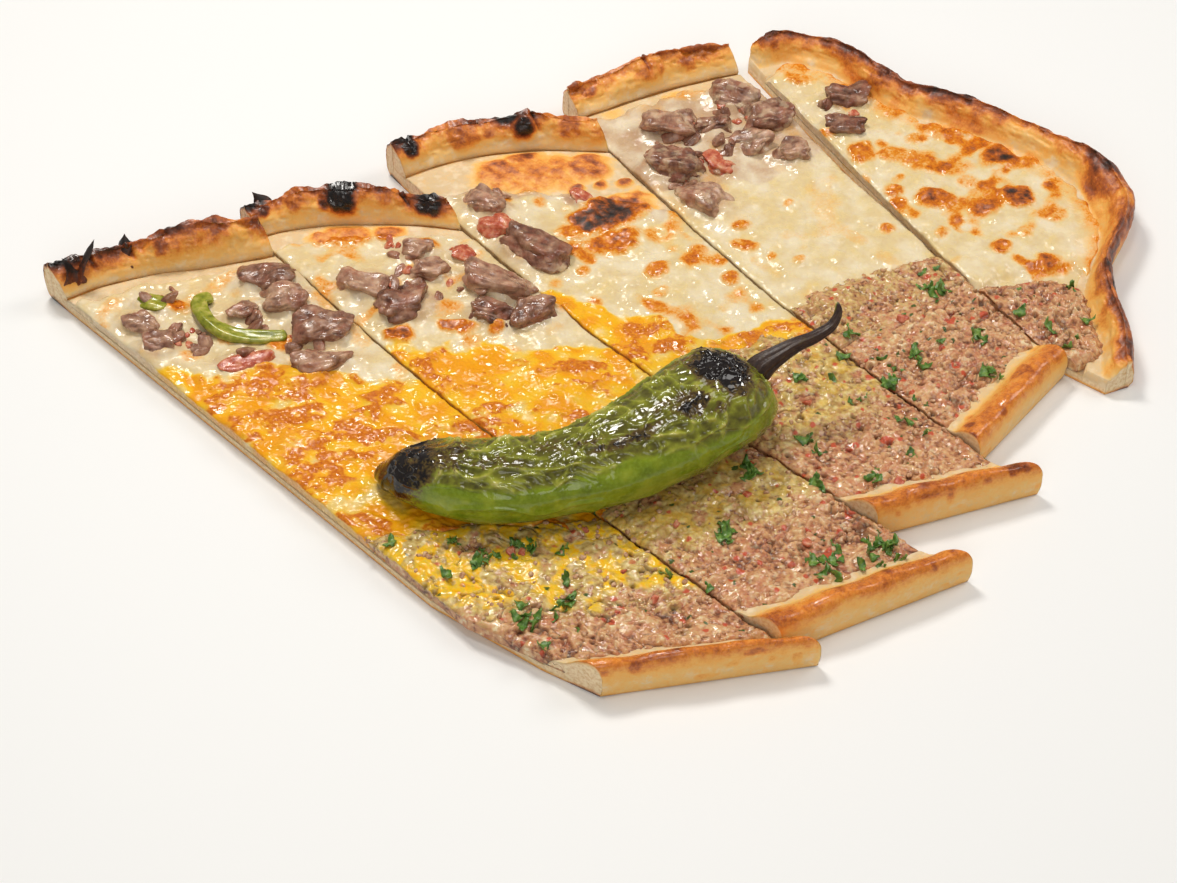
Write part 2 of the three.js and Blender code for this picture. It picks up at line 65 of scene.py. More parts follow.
EYE_LENS = 80.6
EYE_NEAREST = 10
WARM_WHITE = (1.0, 0.98, 0.95)
LAMPS = [  # name, turn and climb in degrees, distance, width, height, power and colour
    ("window", 197, 61, 1000, 240, 180, 4.9, (1.0, 0.97, 0.92)),
    ("top card", 60, 84, 900, 150, 150, 1.3, WARM_WHITE),
    ("side window", -70, 46, 1100, 380, 520, 2.65, WARM_WHITE),
    ("front card", 48, 34, 1200, 700, 500, 2.45, WARM_WHITE),
]
ROOM_STRENGTH = 0.29
FLOOR_REACH = 4000
FLOOR_DROP = 0.2  # keeps the underside of the bread clear of the floor

look_at = Vector(-PLAN_CENTRE * MM)
scene = bpy.context.scene


def aim(thing, place, target):
    """Stands a lamp or the camera at a place, turned to its target."""
    thing.location = place
    thing.rotation_mode = "QUATERNION"
    thing.rotation_quaternion = (target - place).to_track_quat("-Z", "Y")
    scene.collection.objects.link(thing)


def place_around(turn, climb, distance):
    """A place round what the eye looks at: turn to the left of the front, climb from the table."""
    away = Vector((-math.sin(turn) * math.cos(climb), -math.cos(turn) * math.cos(climb), math.sin(climb)))
    return look_at + away * distance * MM


eye = bpy.data.objects.new("eye", bpy.data.cameras.new("eye"))
eye.data.lens = EYE_LENS
eye.data.clip_start = EYE_NEAREST * MM
aim(eye, place_around(EYE_SIDE, EYE_CLIMB, EYE_DISTANCE), look_at)
scene.camera = eye

for title, turn, climb, distance, wide, high, power, colour in LAMPS:
    lamp = bpy.data.lights.new(title, "AREA")
    lamp.shape = "RECTANGLE"
    lamp.size = wide * MM
    lamp.size_y = high * MM
    lamp.energy = power
    lamp.color = colour
    holder = bpy.data.objects.new(title, lamp)
    aim(holder, place_around(math.radians(turn), math.radians(climb), distance), look_at)

room = bpy.data.worlds.new("pale room")
room.use_nodes = True
room_light = room.node_tree.nodes["Background"]
room_light.inputs["Color"].default_value = (*WARM_WHITE, 1)
room_light.inputs["Strength"].default_value = ROOM_STRENGTH
scene.world = room
scene.view_settings.view_transform = "Standard"

floor_mesh = bpy.data.meshes.new("table top")
floor_corners = [(x * FLOOR_REACH * MM, y * FLOOR_REACH * MM, -FLOOR_DROP * MM) for x, y in
                 ((-1, -1), (1, -1), (1, 1), (-1, 1))]
floor_mesh.from_pydata(floor_corners, [], [(0, 1, 2, 3)])
floor = bpy.data.objects.new("table_top", floor_mesh)
scene.collection.objects.link(floor)
pale_table = bpy.data.materials.new("pale table")
pale_table.use_nodes = True
table_paint = pale_table.node_tree.nodes["Principled BSDF"]
table_paint.inputs["Base Color"].default_value = (0.88, 0.88, 0.87, 1)
table_paint.inputs["Roughness"].default_value = 0.6
floor_mesh.materials.append(pale_table)


# The bread: one flat dough, folded up along both long edges, baked on stone and cut crosswise into
# slices with a knife. Its folded rims brown and char at the crest, the thin dough between them stays
# pale and blisters in places, and the cut faces show its light crumb.
KNIFE_GAP = 0.9
BASE_LEVEL = 3.1  # dough under the filling
DOUGH_LEVEL = 6.3  # puffed dough that no filling covers
FILLING_FLOOR = 3.75  # underside of cheese and mince
FAR_RIM_WIDTH = 11
NEAR_RIM_WIDTH = 11.5
RIM_CREST = 15.5
DOUGH_FROM = 1.12  # where bare dough starts, in widths of the far rim
DOUGH_UNDER = 5  # how far bare dough runs on under the cheese
SLICE_WIDE = 60  # a slice's usual width, and its widest and narrowest
WIDEST_SLICE = 62
NARROWEST_SLICE = 58
FINE = 0.55  # spacing of the modelled surface
SECTION_STEPS = 5  # rows between two points of a rim's section
HIDDEN_ROWS = 6  # rows of the dough under the filling
CUT_STEPS = 7  # rows down a cut face
BREAD_SEED = 100
IN_PLAN = np.array([1, 1, 0])  # lays places flat on the table


def lerp(low, high, share):
    return low + (high - low) * share


def hump(share, at, spread):
    return np.exp(-(((share - at) / spread) ** 2))


def rise(value, low, high):
    """0 below low, 1 above high, and a smooth step between them."""
    share = np.clip((value - low) / (high - low), 0, 1)
    return share * share * (3 - 2 * share)


def above(places, low, high):
    """The same step for the level of places."""
    return rise(places[..., 2], low, high)


def shares(count):
    """A column of even shares from 0 to 1."""
    return np.linspace(0, 1, count)[:, None]


def points_at(x, y, z=0):
    """Places from their x, y and z, each an array or one number."""
    return np.stack(np.broadcast_arrays(x, y, z), -1)


def cut_line(at, lean=0.0, curl=0.0, drag=0.0, drag_from=0.0):
    """A knife cut as x of y. The blade drags the near end aside."""
    return lambda y: at + lean * y + curl * y * y + drag * np.maximum(0, drag_from - y)


CUTS = {
    "open": cut_line(-82.5, curl=-1e-5, drag=0.28, drag_from=-30),
    "ab": cut_line(-25, curl=3.5e-4, drag=0.5, drag_from=-101),
    "bc": cut_line(30, curl=5e-4, drag=0.4, drag_from=-112),
    "cd": cut_line(85.5, lean=0.11, curl=5e-4, drag=0.5, drag_from=-105),
    "de_left": cut_line(145.5, lean=0.2, curl=1e-4, drag=0.3, drag_from=-80),
    "de_right": cut_line(147.9, lean=0.24, curl=2.2e-4, drag=0.35, drag_from=-80),
}

# Each slice: its cuts, y of its corners at the left and right cut, the bulge of its far edge, its rims
# (height, hump and where the hump is), how far the far one browned, and the shares of its length where
# cheese and mince begin.
SLICES = {
    "a": dict(cuts=("open", "ab"), far=(176.6, 143), bulge=2, near=(-75, -113), far_rim=(15.5, 3, 0.74),
              bake=0.88, near_rim=(13.5, 0.8, 0.6), cheese_from=(0.075, 0.08), mince_from=(0.64, 0.68)),
    "b": dict(cuts=("ab", "bc"), far=(153, 107), bulge=7, near=(-102, -124), far_rim=(14.5, 3.5, 0.55),
              bake=1.0, near_rim=(14, 0.8, 0.4), cheese_from=(0.085, 0.095), mince_from=(0.71, 0.62)),
    "c": dict(cuts=("bc", "cd"), far=(141, 99), bulge=8, near=(-92, -117), far_rim=(14.5, 2.5, 0.6),
              bake=0.9, near_rim=(14, 0.6, 0.5), cheese_from=(0.12, 0.24), mince_from=(0.62, 0.56)),
    "d": dict(cuts=("cd", "de_left"), far=(119, 95), bulge=3, near=(-96, -91), far_rim=(14.5, 2, 0.6),
              bake=0.66, near_rim=(13, 0.5, 0.5), cheese_from=(0.09, 0.1), mince_from=(0.6, 0.66)),
}


def plan_of(slice_, u, v):
    """Plan place in a slice at share u of its length from the far edge and share v of its width."""
    left, right = (CUTS[name] for name in slice_["cuts"])
    y_left = lerp(slice_["far"][0], slice_["near"][0], u)
    y_right = lerp(slice_["far"][1], slice_["near"][1], u)
    x = lerp(left(y_left) + KNIFE_GAP / 2, right(y_right) - KNIFE_GAP / 2, v)
    return x, lerp(y_left, y_right, v) + slice_["bulge"] * np.sin(np.pi * v) * (1 - u)


def length_of(slice_, v):
    (x0, y0), (x1, y1) = plan_of(slice_, 0.0, v), plan_of(slice_, 1.0, v)
    return np.hypot(x1 - x0, y1 - y0)


def rim_height(rim, v):
    height, swell, swell_at = rim
    return height + swell * hump(v, swell_at, 0.22) + 0.5 * np.sin(17 * v + height)


def chance(place, seed):
    """A number from 0 to 1 that is fixed for each whole-number place."""
    mixed = np.full(place.shape[:-1], (seed * 2654435761 + 97) % 2**32, np.uint32)
    for axis, prime in enumerate((374761393, 668265263, 3266489917)):
        mixed += place[..., axis].astype(np.int64).astype(np.uint32) * np.uint32(prime)
    mixed ^= mixed >> np.uint32(15)
    mixed *= np.uint32(2246822519)
    mixed ^= mixed >> np.uint32(13)
    mixed *= np.uint32(3266489917)
    mixed ^= mixed >> np.uint32(16)
    return mixed / 2.0**32


def ripple(place, size, seed, octaves=1):
    """Smooth uneven relief from about -1 to 1, with lumps of a given size."""
    total, weight, reach = 0.0, 1.0, 0.0
    for octave in range(octaves):
        scaled = place / size * 2.0**octave + 11.3 * (seed + octave)
        corner = np.floor(scaled)
        share = scaled - corner
        share = share * share * (3 - 2 * share)
        level = 0.0
        for step in itertools.product((0, 1), repeat=3):
            near = np.prod([share[..., k] if s else 1 - share[..., k] for k, s in enumerate(step)], axis=0)
            level = level + near * chance(corner + np.array(step), seed + octave)
        total = total + weight * (2 * level - 1)
        reach += weight
        weight *= 0.5
    return total / reach * 1.4


def smooth_line(points, at):
    """A smooth line through points (centripetal Catmull-Rom) at places counted in points."""
    points = np.asarray(points, float)
    padded = np.vstack([2 * points[0] - points[1], points, 2 * points[-1] - points[-2]])
    at = np.asarray(at, float)
    first = np.clip(np.floor(at).astype(int), 0, len(points) - 2)
    share = (at - first)[:, None]
    p0, p1, p2, p3 = (padded[first + k] for k in range(4))
    t0, t1, t2 = (np.maximum(np.linalg.norm(b - a, axis=1), 1e-6)[:, None] ** 0.5
                  for a, b in ((p0, p1), (p1, p2), (p2, p3)))
    out = ((p1 - p0) / t0 - (p2 - p0) / (t0 + t1) + (p2 - p1) / t1) * t1
    into = ((p2 - p1) / t1 - (p3 - p1) / (t1 + t2) + (p3 - p2) / t2) * t1
    bend = -3 * p1 + 3 * p2 - 2 * out - into
    return p1 + out * share + bend * share**2 + (2 * p1 - 2 * p2 + out + into) * share**3


def eased(points, steps):
    """The smooth line through points with a number of steps between each two."""
    return smooth_line(points, np.linspace(0, len(points) - 1, (len(points) - 1) * steps + 1))


def outward(grid):
    """Unit normals of a grid of points whose rows and columns turn anticlockwise seen from outside."""
    down, across = np.gradient(grid, axis=0), np.gradient(grid, axis=1)
    normal = np.cross(down, across)
    return normal / np.maximum(np.linalg.norm(normal, axis=-1, keepdims=True), 1e-9)


def quads(grid):
    """Faces between the neighbours in a grid of point numbers."""
    return np.stack([grid[:-1, :-1], grid[1:, :-1], grid[1:, 1:], grid[:-1, 1:]], -1).reshape(-1, 4)


def closed_layer(top, under, steps, crumble):
    """Closes a modelled top with cut sides and a flat underside. under holds the lower outline's far,
    near, left and right rows. Gives points, faces, the top point that each hangs below, and its depth."""
    skin = top.reshape(-1, 3)
    grid = np.arange(len(skin)).reshape(top.shape[:2])
    points, hangs, faces = [skin], [grid.ravel()], [quads(grid)]
    feet = {}
    count = grid.size
    edges = {"far": (grid[0], grid[1]), "near": (grid[-1], grid[-2]),
             "left": (grid[:, 0], grid[:, 1]), "right": (grid[:, -1], grid[:, -2])}
    for side, (edge, behind) in edges.items():
        start = skin[edge]
        inward = (skin[behind] - start) * IN_PLAN
        inward /= np.maximum(np.linalg.norm(inward, axis=1, keepdims=True), 1e-6)
        post = np.arange(len(edge))
        loose = np.minimum(1, np.minimum(post, post[::-1]) / 4)  # the corners hold
        loose *= np.ptp([start, under[side]], axis=0).max(1) > 0
        ladder = [edge]
        for down in np.arange(1, steps + 1) / steps:
            level = lerp(start, under[side], down)
            pull = crumble(level) * loose * np.minimum(1, 2 - 2 * down)
            ladder.append(count + post)
            points.append(level + inward * pull[:, None])
            hangs.append(edge)
            count += len(edge)
        feet[side] = ladder[-1]
        wall = quads(np.array(ladder).T)
        faces.append(wall if side in ("far", "right") else wall[:, ::-1])
    underside = [*feet["far"], *feet["right"], *feet["near"][::-1], *feet["left"][::-1]]
    points, hangs = np.vstack(points), np.concatenate(hangs)
    depth = np.linalg.norm(points - skin[hangs], axis=1)
    return points, [*np.vstack(faces).tolist(), underside], hangs, depth


def welded(points, faces):
    """Joins points that lie at one place and drops the faces that this closes up."""
    _, keep, to = np.unique(np.round(points, 5), axis=0, return_index=True, return_inverse=True)
    to = to.ravel()
    joined = [list(dict.fromkeys(to[list(face)].tolist())) for face in faces]
    return points[keep], [face for face in joined if len(face) > 2], keep


def set_mark(mesh, mark, values):
    """Writes a number for each point of a mesh, for its finish to read."""
    mesh.attributes.new(mark, "FLOAT", "POINT").data.foreach_set("value", values.astype(np.float32))


def make_piece(name, points, faces, marks, finish, slot, *nodes):
    """A piece of the object from points in the drawing frame, with its marks for the finish."""
    points, faces, keep = welded(points.reshape(-1, 3), faces)
    mesh = bpy.data.meshes.new(name)
    mesh.from_pydata(((points - PLAN_CENTRE) * MM).tolist(), [], faces)
    mesh.polygons.foreach_set("use_smooth", [True] * len(mesh.polygons))
    for mark, values in marks.items():
        set_mark(mesh, mark, values.ravel()[keep])
    mesh.materials.append(finish)
    piece = bpy.data.objects.new(name, mesh)
    scene.collection.objects.link(piece)
    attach(piece, "root")
    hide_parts(*nodes)


def wire(node, inputs):
    """Sets a node's inputs, by name or number, or links them to the sockets that feed them."""
    for title, value in inputs.items():
        if isinstance(value, bpy.types.NodeSocket):
            node.id_data.links.new(value, node.inputs[title])
        else:
            node.inputs[title].default_value = value


def add_node(tree, kind, inputs, **settings):
    """A new node with its settings and what feeds it."""
    node = tree.nodes.new(kind)
    for setting, value in settings.items():
        setattr(node, setting, value)
    wire(node, inputs)
    return node


def shade(red, green, blue):
    """A colour as a screen shows it (0 to 255), as light."""
    light = [c / 255 / 12.92 if c <= 10 else ((c / 255 + 0.055) / 1.055) ** 2.4 for c in (red, green, blue)]
    return (*light, 1.0)


class Finish:
    """A surface finish in the making: its nodes, and short words for wiring them."""

    def __init__(self, title):
        self.material = bpy.data.materials.new(title)
        self.material.use_nodes = True
        self.shader = self.material.node_tree.nodes["Principled BSDF"]
        self.place = self.add("ShaderNodeTexCoord", {}).outputs["Object"]

    def add(self, kind, inputs, **settings):
        return add_node(self.material.node_tree, kind, inputs, **settings)

    def mark(self, name):
        return self.add("ShaderNodeAttribute", {}, attribute_name=name).outputs["Fac"]

    def grain(self, size, detail=2.0):
        """Uneven grey noise with patches of a size in millimetres."""
        noise = self.add("ShaderNodeTexNoise",
                         {"Vector": self.place, "Scale": 1 / (size * MM), "Detail": detail})
        return noise.outputs["Fac"]

    def cloud(self, size, detail, strength):
        """The same noise, as much below nothing as above it."""
        return self.math("MULTIPLY_ADD", self.grain(size, detail), strength, -strength / 2)

    def math(self, kind, *values):
        return self.add("ShaderNodeMath", dict(enumerate(values)), operation=kind).outputs["Value"]

    def plus(self, first, second):
        return self.math("ADD", first, second)

    def times(self, first, second):
        return self.math("MULTIPLY", first, second)

    def span(self, value, low, high, to_low=0.0, to_high=1.0):
        """Turns what runs from low to high into what runs from to_low to to_high, and goes no further."""
        node = self.add("ShaderNodeMapRange", {"Value": value, "From Min": low, "From Max": high,
                                               "To Min": to_low, "To Max": to_high})
        return node.outputs["Result"]

    def uneven(self, name, noise, *span):
        """A mark with noise added, as much as the mark's span lets through."""
        return self.plus(self.mark(name), self.times(noise, self.span(self.mark(name), *span)))

    def ramp(self, value, stops):
        """Colours along a value, each with the place where it is pure."""
        node = self.add("ShaderNodeValToRGB", {"Fac": value})
        elements = node.color_ramp.elements
        while len(elements) < len(stops):
            elements.new(0.5)
        for element, (at, colour) in zip(elements, stops):
            element.position = at
            element.color = shade(*colour)
        return node.outputs["Color"]

    def mix(self, share, first, second):
        """The first colour, and over it a share of the second. Sockets 6, 7 and 2 are those for colours."""
        node = self.add("ShaderNodeMix", {}, data_type="RGBA")
        wire(node, {"Factor": share, 6: first, 7: second})
        return node.outputs[2]

    def coat(self, colour, roughness, gloss=0.5):
        wire(self.shader, {"Base Color": colour, "Roughness": roughness, "Specular IOR Level": gloss})

    def bump(self, height, strength, distance):
        relief = self.add("ShaderNodeBump", {"Height": height, "Strength": strength,
                                             "Distance": distance * MM})
        wire(self.shader, {"Normal": relief.outputs["Normal"]})

    def soft(self, weight, reach, colour=(1.0, 0.55, 0.3)):
        """Light that enters and spreads a little under the surface."""
        wire(self.shader, {"Subsurface Weight": weight, "Subsurface Radius": colour,
                           "Subsurface Scale": reach * MM})


BROWNING = [
    (0.0, (218, 190, 146)), (0.14, (240, 193, 114)), (0.30, (243, 177, 82)), (0.46, (222, 132, 48)),
    (0.60, (168, 86, 36)), (0.74, (104, 48, 20)), (0.87, (44, 26, 18)), (1.0, (18, 15, 15)),
]


def bread_finish():
    crust = Finish("baked dough")
    bake = crust.uneven("bake", crust.plus(crust.cloud(2.6, 3.0, 0.3), crust.cloud(0.8, 3.0, 0.26)),
                        0.0, 0.35, 0.55, 1.0)
    flour = crust.times(crust.span(crust.grain(4.0, 4.0), 0.5, 0.66, 0.0, 0.6),
                        crust.span(bake, 0.06, 0.24, 1.0, 0.0))
    colour = crust.mix(flour, crust.ramp(bake, BROWNING), shade(236, 218, 186))
    crumb = crust.ramp(crust.grain(1.1, 3.0), [(0.3, (216, 178, 126)), (0.6, (242, 220, 182))])
    colour = crust.mix(crust.mark("crumb"), colour, crumb)
    butter = crust.times(crust.mark("butter"), crust.span(crust.grain(2.0), 0.3, 0.5))
    crust.coat(colour, crust.span(butter, 0, 1, 0.54, 0.16))
    crust.soft(0.18, 1.6)
    crust.bump(crust.plus(crust.grain(2.2, 4.0), crust.mark("crumb")), 0.35, 0.4)
    return crust.material


baked_dough = bread_finish()

# Sections of the rims as share of the rim's width from its outer edge, share of its climb, level that it
# climbs from, and browning. The far one ends in a thin lip over a groove along the dough, and the darker
# browning down in that groove, under the lip, is painted shade.
FAR_SECTION = [
    (0.12, 0.0, 0, 0.34), (0.0, 0.12, 0, 0.40), (-0.05, 0.36, 0, 0.50), (-0.05, 0.66, 0, 0.62),
    (0.05, 0.91, 0, 0.73), (0.20, 1.0, 0, 0.72), (0.36, 0.97, DOUGH_LEVEL, 0.60),
    (0.52, 0.87, DOUGH_LEVEL, 0.50), (0.66, 0.72, DOUGH_LEVEL, 0.42), (0.78, 0.51, DOUGH_LEVEL, 0.30),
    (0.88, 0.28, DOUGH_LEVEL, 0.16), (0.94, 0.10, DOUGH_LEVEL, 0.05), (0.91, -0.06, DOUGH_LEVEL, 0.06),
    # down in the groove under the lip: the darker browning here is painted shade
    (0.82, -0.12, DOUGH_LEVEL, 0.22), (0.90, -0.14, DOUGH_LEVEL, 0.16), (1.04, 0.0, DOUGH_LEVEL, 0.02),
]
NEAR_SECTION = [
    (1.62, 0.28, 0, 0.0), (1.46, 0.50, 0, 0.0), (1.28, 0.56, 0, 0.02), (1.10, 0.60, 0, 0.06),
    (0.97, 0.66, 0, 0.18), (0.84, 0.77, 0, 0.34), (0.68, 0.89, 0, 0.44), (0.50, 0.975, 0, 0.50),
    (0.32, 1.0, 0, 0.52), (0.18, 0.965, 0, 0.50), (0.08, 0.87, 0, 0.43), (0.02, 0.74, 0, 0.32),
    (0.0, 0.56, 0, 0.2), (0.0, 0.3, 0, 0.14), (0.05, 0.0, 0, 0.2),
]

# The rim of the rounded end rises from the dough without a groove.
END_SECTION = [*FAR_SECTION[:9], (0.78, 0.40, DOUGH_LEVEL, 0.34), (0.90, 0.20, DOUGH_LEVEL, 0.30),
               (0.98, 0.07, DOUGH_LEVEL, 0.2), (1.06, 0.0, DOUGH_LEVEL, 0.06)]

# Burnt places of the far rims, as share of the width, strength and spread.
CHARRED = {
    "a": [(0.03, 0.30, 0.07), (0.34, 0.14, 0.06), (0.62, 0.22, 0.09), (0.80, 0.10, 0.06)],
    "b": [(0.03, 0.26, 0.05), (0.50, 0.34, 0.12), (0.93, 0.34, 0.06)],
    "c": [(0.02, 0.42, 0.05), (0.46, 0.16, 0.08), (0.64, 0.30, 0.06)],
    "d": [(0.03, 0.26, 0.04), (0.30, 0.08, 0.08), (0.80, 0.10, 0.05)],
}

# Nicks where the edge tore as it rose, as share of the width.
NICKS = {"a": (0.2, 0.39), "b": (0.82,), "c": (0.09, 0.74), "d": (0.5,)}

# Blisters that the rims puffed up into: x, y, reach, height and browning.
BLISTERS = {
    "a": [(-66, 169, 6, 1.6, 0.78), (-74, 170, 4, 1.4, 0.84), (-47, 157, 6, 1.4, 0.66),
          (-30, 149, 9, 2.2, 0.6), (-55, 165, 4, 1.2, 0.72)],
    "b": [(11, 131, 9.5, 3.0, 0.97), (30, 107, 6.5, 2.6, 0.93), (-12, 146, 4.5, 1.6, 0.84),
          (-2, 141, 6, 0.8, 0.56), (21, 120, 5, -0.6, 0.5)],
    "c": [(80, 112, 5.5, 1.8, 0.9), (45, 134, 5, 1.8, 0.95), (62, 126, 9, 1.4, 0.56),
          (93, 102, 7, 1.4, 0.58), (70, 120, 4, -0.4, 0.6)],
    "d": [(133, 101, 8, 1.2, 0.52), (147, 95, 7, 1.0, 0.6), (112, 111, 5, 1.4, 0.58)],
    "e": [(193, 68, 6, 1.2, 0.7), (195, 42, 7, 1.4, 0.72), (204, 12, 6, 1.4, 0.8), (211, -18, 7, 1.2, 0.66),
          (208, -45, 7, 1.5, 0.5), (179, 84, 6, 1.0, 0.56)],
}


def blistered(place, key):
    """Height and browning of the blisters of a rim."""
    ragged = 0.3 * ripple(place, 4.2, 63, 3)
    high = np.zeros(place.shape[:-1])
    brown = np.zeros(place.shape[:-1])
    for x, y, reach, tall, bake in BLISTERS[key]:
        down = 0.75 * np.maximum(0, RIM_CREST - place[..., 2])
        gap = np.sqrt((place[..., 0] - x) ** 2 + (place[..., 1] - y) ** 2 + down**2) / reach
        high = high + tall * hump(gap, 0, 0.72)
        brown = np.maximum(brown, bake * (1 - rise(gap + ragged, 0.35, 1.15)))
    return high, brown


# Toasted places of the dough and the cheese in plan: x, y, half length, half width, turn in degrees and
# strength. They have puffed up, so they also stand a little proud.
TOASTED = {
    "a": [(-59, 136, 5, 4, -40, 0.46), (-56, 111, 5, 3.4, -40, 0.3), (-52, 162, 9, 3.4, -25, 0.2),
          (-46, 97, 7, 4, -40, 0.36), (-70, 114, 5, 3, -40, 0.26)],
    "b": [(4, 122, 13, 7, -43, 0.42), (15, 113, 7, 5, -43, 0.5), (-3, 127, 6, 4, -43, 0.5),
          (-15.5, 73, 6, 4.6, -50, 0.56), (1, 62, 7.5, 3.8, -60, 0.5), (-2, 92, 5, 3.4, -30, 0.34),
          (20, 98, 6, 4, -50, 0.4), (-14, 58, 4, 3, 0, 0.34), (9, 52, 4, 3, 0, 0.4)],
    "c": [(72, 99, 22, 13, -38, 0.44), (64, 108, 10, 8, -30, 0.52), (87, 88, 10, 9, -40, 0.54),
          (74, 108, 8, 5, -30, 0.58),
          (74, 65, 20, 9.5, -14, 0.78), (66, 55, 14, 7, -20, 0.5), (84, 60, 10, 5, -20, 0.5),
          (76.5, 82, 3.6, 3.2, 0, 0.62), (83.8, 78, 3.4, 2.8, 0, 0.62), (90.5, 73, 3.4, 2.6, 0, 0.58),
          (67, 34.7, 5.6, 4.6, 0, 0.4), (83.7, 30.5, 5, 4.2, 0, 0.38), (82, 14, 4, 3.8, 0, 0.38),
          (49, 52, 3.6, 3.4, 0, 0.3), (60, 26, 4, 3, 0, 0.26)],
    "d": [(102.6, 28.4, 4.2, 3.4, -40, 0.36), (96.6, 21, 5.4, 3.6, -70, 0.4), (105, 3.5, 3.4, 2.4, 0, 0.3),
          (99, 11, 3, 2.4, 0, 0.28), (138, -7.6, 4, 3, 0, 0.34), (123, 25, 3, 2.4, 0, 0.26),
          (139, 90, 9, 4, -40, 0.24), (114, 102, 5, 3.6, 0, 0.2)],
    "e": [(193, -11.4, 8, 7, 0, 0.68), (182, -29, 7, 6, -30, 0.74), (161, -9, 8.5, 6, -40, 0.56),
          (169, -23.5, 7, 5.6, -30, 0.54), (172.6, 5.4, 10, 6, -60, 0.42), (158.7, -41, 4.4, 4, 0, 0.46),
          (164.4, -56.4, 5.6, 5, 0, 0.56), (161, 23.7, 7, 6, -40, 0.44), (196, 8.3, 7, 6.4, 0, 0.36),
          (200, -20.4, 5.5, 5, 0, 0.36), (187.5, 30.6, 6.5, 5.4, 0, 0.36), (192.5, -58.7, 5, 4.4, 0, 0.3),
          (184, -44, 5, 4.4, 0, 0.34), (154, 3, 5, 4, -40, 0.4), (176, -12, 5, 4, 0, 0.26),
          (180, 16, 5, 4, 0, 0.3), (170, -42, 3.6, 3.2, 0, 0.3), (150, -22, 4, 3, 0, 0.3),
          (176, 66, 8, 4, -50, 0.34), (184, 50, 8, 5, -60, 0.38),
          (168, 16, 8, 5, -50, 0.34), (190, 12, 7, 6, -60, 0.34), (178, -4, 8, 5, -40, 0.32)],
}


def along_and_aside(place, x, y, turn):
    """How far places lie along and aside of a spot that is turned by degrees."""
    angle = math.radians(turn)
    along = (place[..., 0] - x) * math.cos(angle) + (place[..., 1] - y) * math.sin(angle)
    return along, (place[..., 1] - y) * math.cos(angle) - (place[..., 0] - x) * math.sin(angle)


def toasted(place, key):
    """Browning from the toasted places of a slice, with uneven edges."""
    ragged = 0.22 * ripple(place, 4.5, 61, 2)
    brown = np.zeros(place.shape[:-1])
    for x, y, long, wide, turn, strength in TOASTED[key]:
        along, aside = along_and_aside(place, x, y, turn)
        reach = np.hypot(along / long, aside / wide) + ragged
        brown = np.maximum(brown, strength * (1 - rise(reach, 0.42, 1.2)))
    return brown * (1 + 0.32 * ripple(place, 2.2, 64, 3))


def crumb_relief(place):
    """How far the torn crumb of a cut face stands back."""
    return 0.12 + 0.1 * ripple(place, 1.6, 71) + 0.2 * rise(ripple(place, 2.3, 72), 0.3, 0.8)


def dough_relief(place, brown):
    """Level of the bare dough, which has puffed up where it is toasted."""
    puffed = rise(brown, 0.1, 0.5) * (1.1 + 0.25 * ripple(place, 2.2, 7))
    return DOUGH_LEVEL + 0.5 * ripple(place, 11, 5) + 0.34 * ripple(place, 3.8, 6, 2) + puffed


def on_rows(top, first, values):
    """Values on some rows of a top, from the first one given, and 0 on its other rows."""
    filled = np.zeros(top.shape[:2])
    filled[first:first + len(values)] = values
    return filled


def rim_relief(top, seed, rims, browned_rim, puff, wrinkle):
    """How far the puffed crust of the rims stands out, less the fine wrinkles of the browned one."""
    uneven = 0.55 * ripple(top, 10, seed) + 0.3 * ripple(top, 3.6, seed + 1, 2)
    uneven += 0.06 * ripple(top, 1.1, seed + 2)
    wrinkles = ripple(top * np.array([1, 1, 2.2]), 2.6, seed + 9) ** 2 * above(top, 7, 10)
    return (uneven * rims * above(top, 0, 2.5)
            + browned_rim * (puff * above(top, 7, 11) - wrinkle * wrinkles))


def rim_browning(top, section, share, charred, bake, most, crest_at, seed):
    """Browning of the far rim from its section, with the burnt places of its crest."""
    crest = on_rows(top, 0, hump(section[:, 0], crest_at, 0.3) * (section[:, 1] > 0.5))
    char = sum(strength * hump(share, at, spread) for at, strength, spread in charred)
    return (on_rows(top, 0, np.minimum(section[:, 3] * bake, most))
            + crest * char * (1 + 0.5 * ripple(top, 3, seed + 4)))


def cut_feet(top, near, down, plan):
    """Outline of the underside. The feet of the cut sides follow the rows down without their folds."""
    under = {"far": top[0], "near": near}
    slide = np.clip(np.maximum.accumulate(down, axis=0), down[0], down[-1])
    for side, column in (("left", 0), ("right", -1)):
        under[side] = points_at(*plan(slide[:, column], column))
        under[side][0], under[side][-1] = top[0, column], near[column]
    return under


def finish_bread(key, top, under, steps, brown, butter):
    """Closes a piece of bread with cut faces of pale crumb that are toasted at the foot."""
    points, faces, hangs, depth = closed_layer(top, under, steps, crumb_relief)
    over_foot = rise(points[:, 2], 0.4, 1.5)
    crumb = rise(depth, 0.15, 0.8) * over_foot
    toast = 0.35 * (depth > 0) * (1 - over_foot)
    marks = {"bake": brown.ravel()[hangs] * (1 - 0.75 * crumb) + toast, "crumb": crumb * 0.9,
             "butter": butter.ravel()[hangs] * (depth == 0)}
    make_piece(f"baked_bread_{key}", points, faces, marks, baked_dough, "bread", f"bread_{key}")


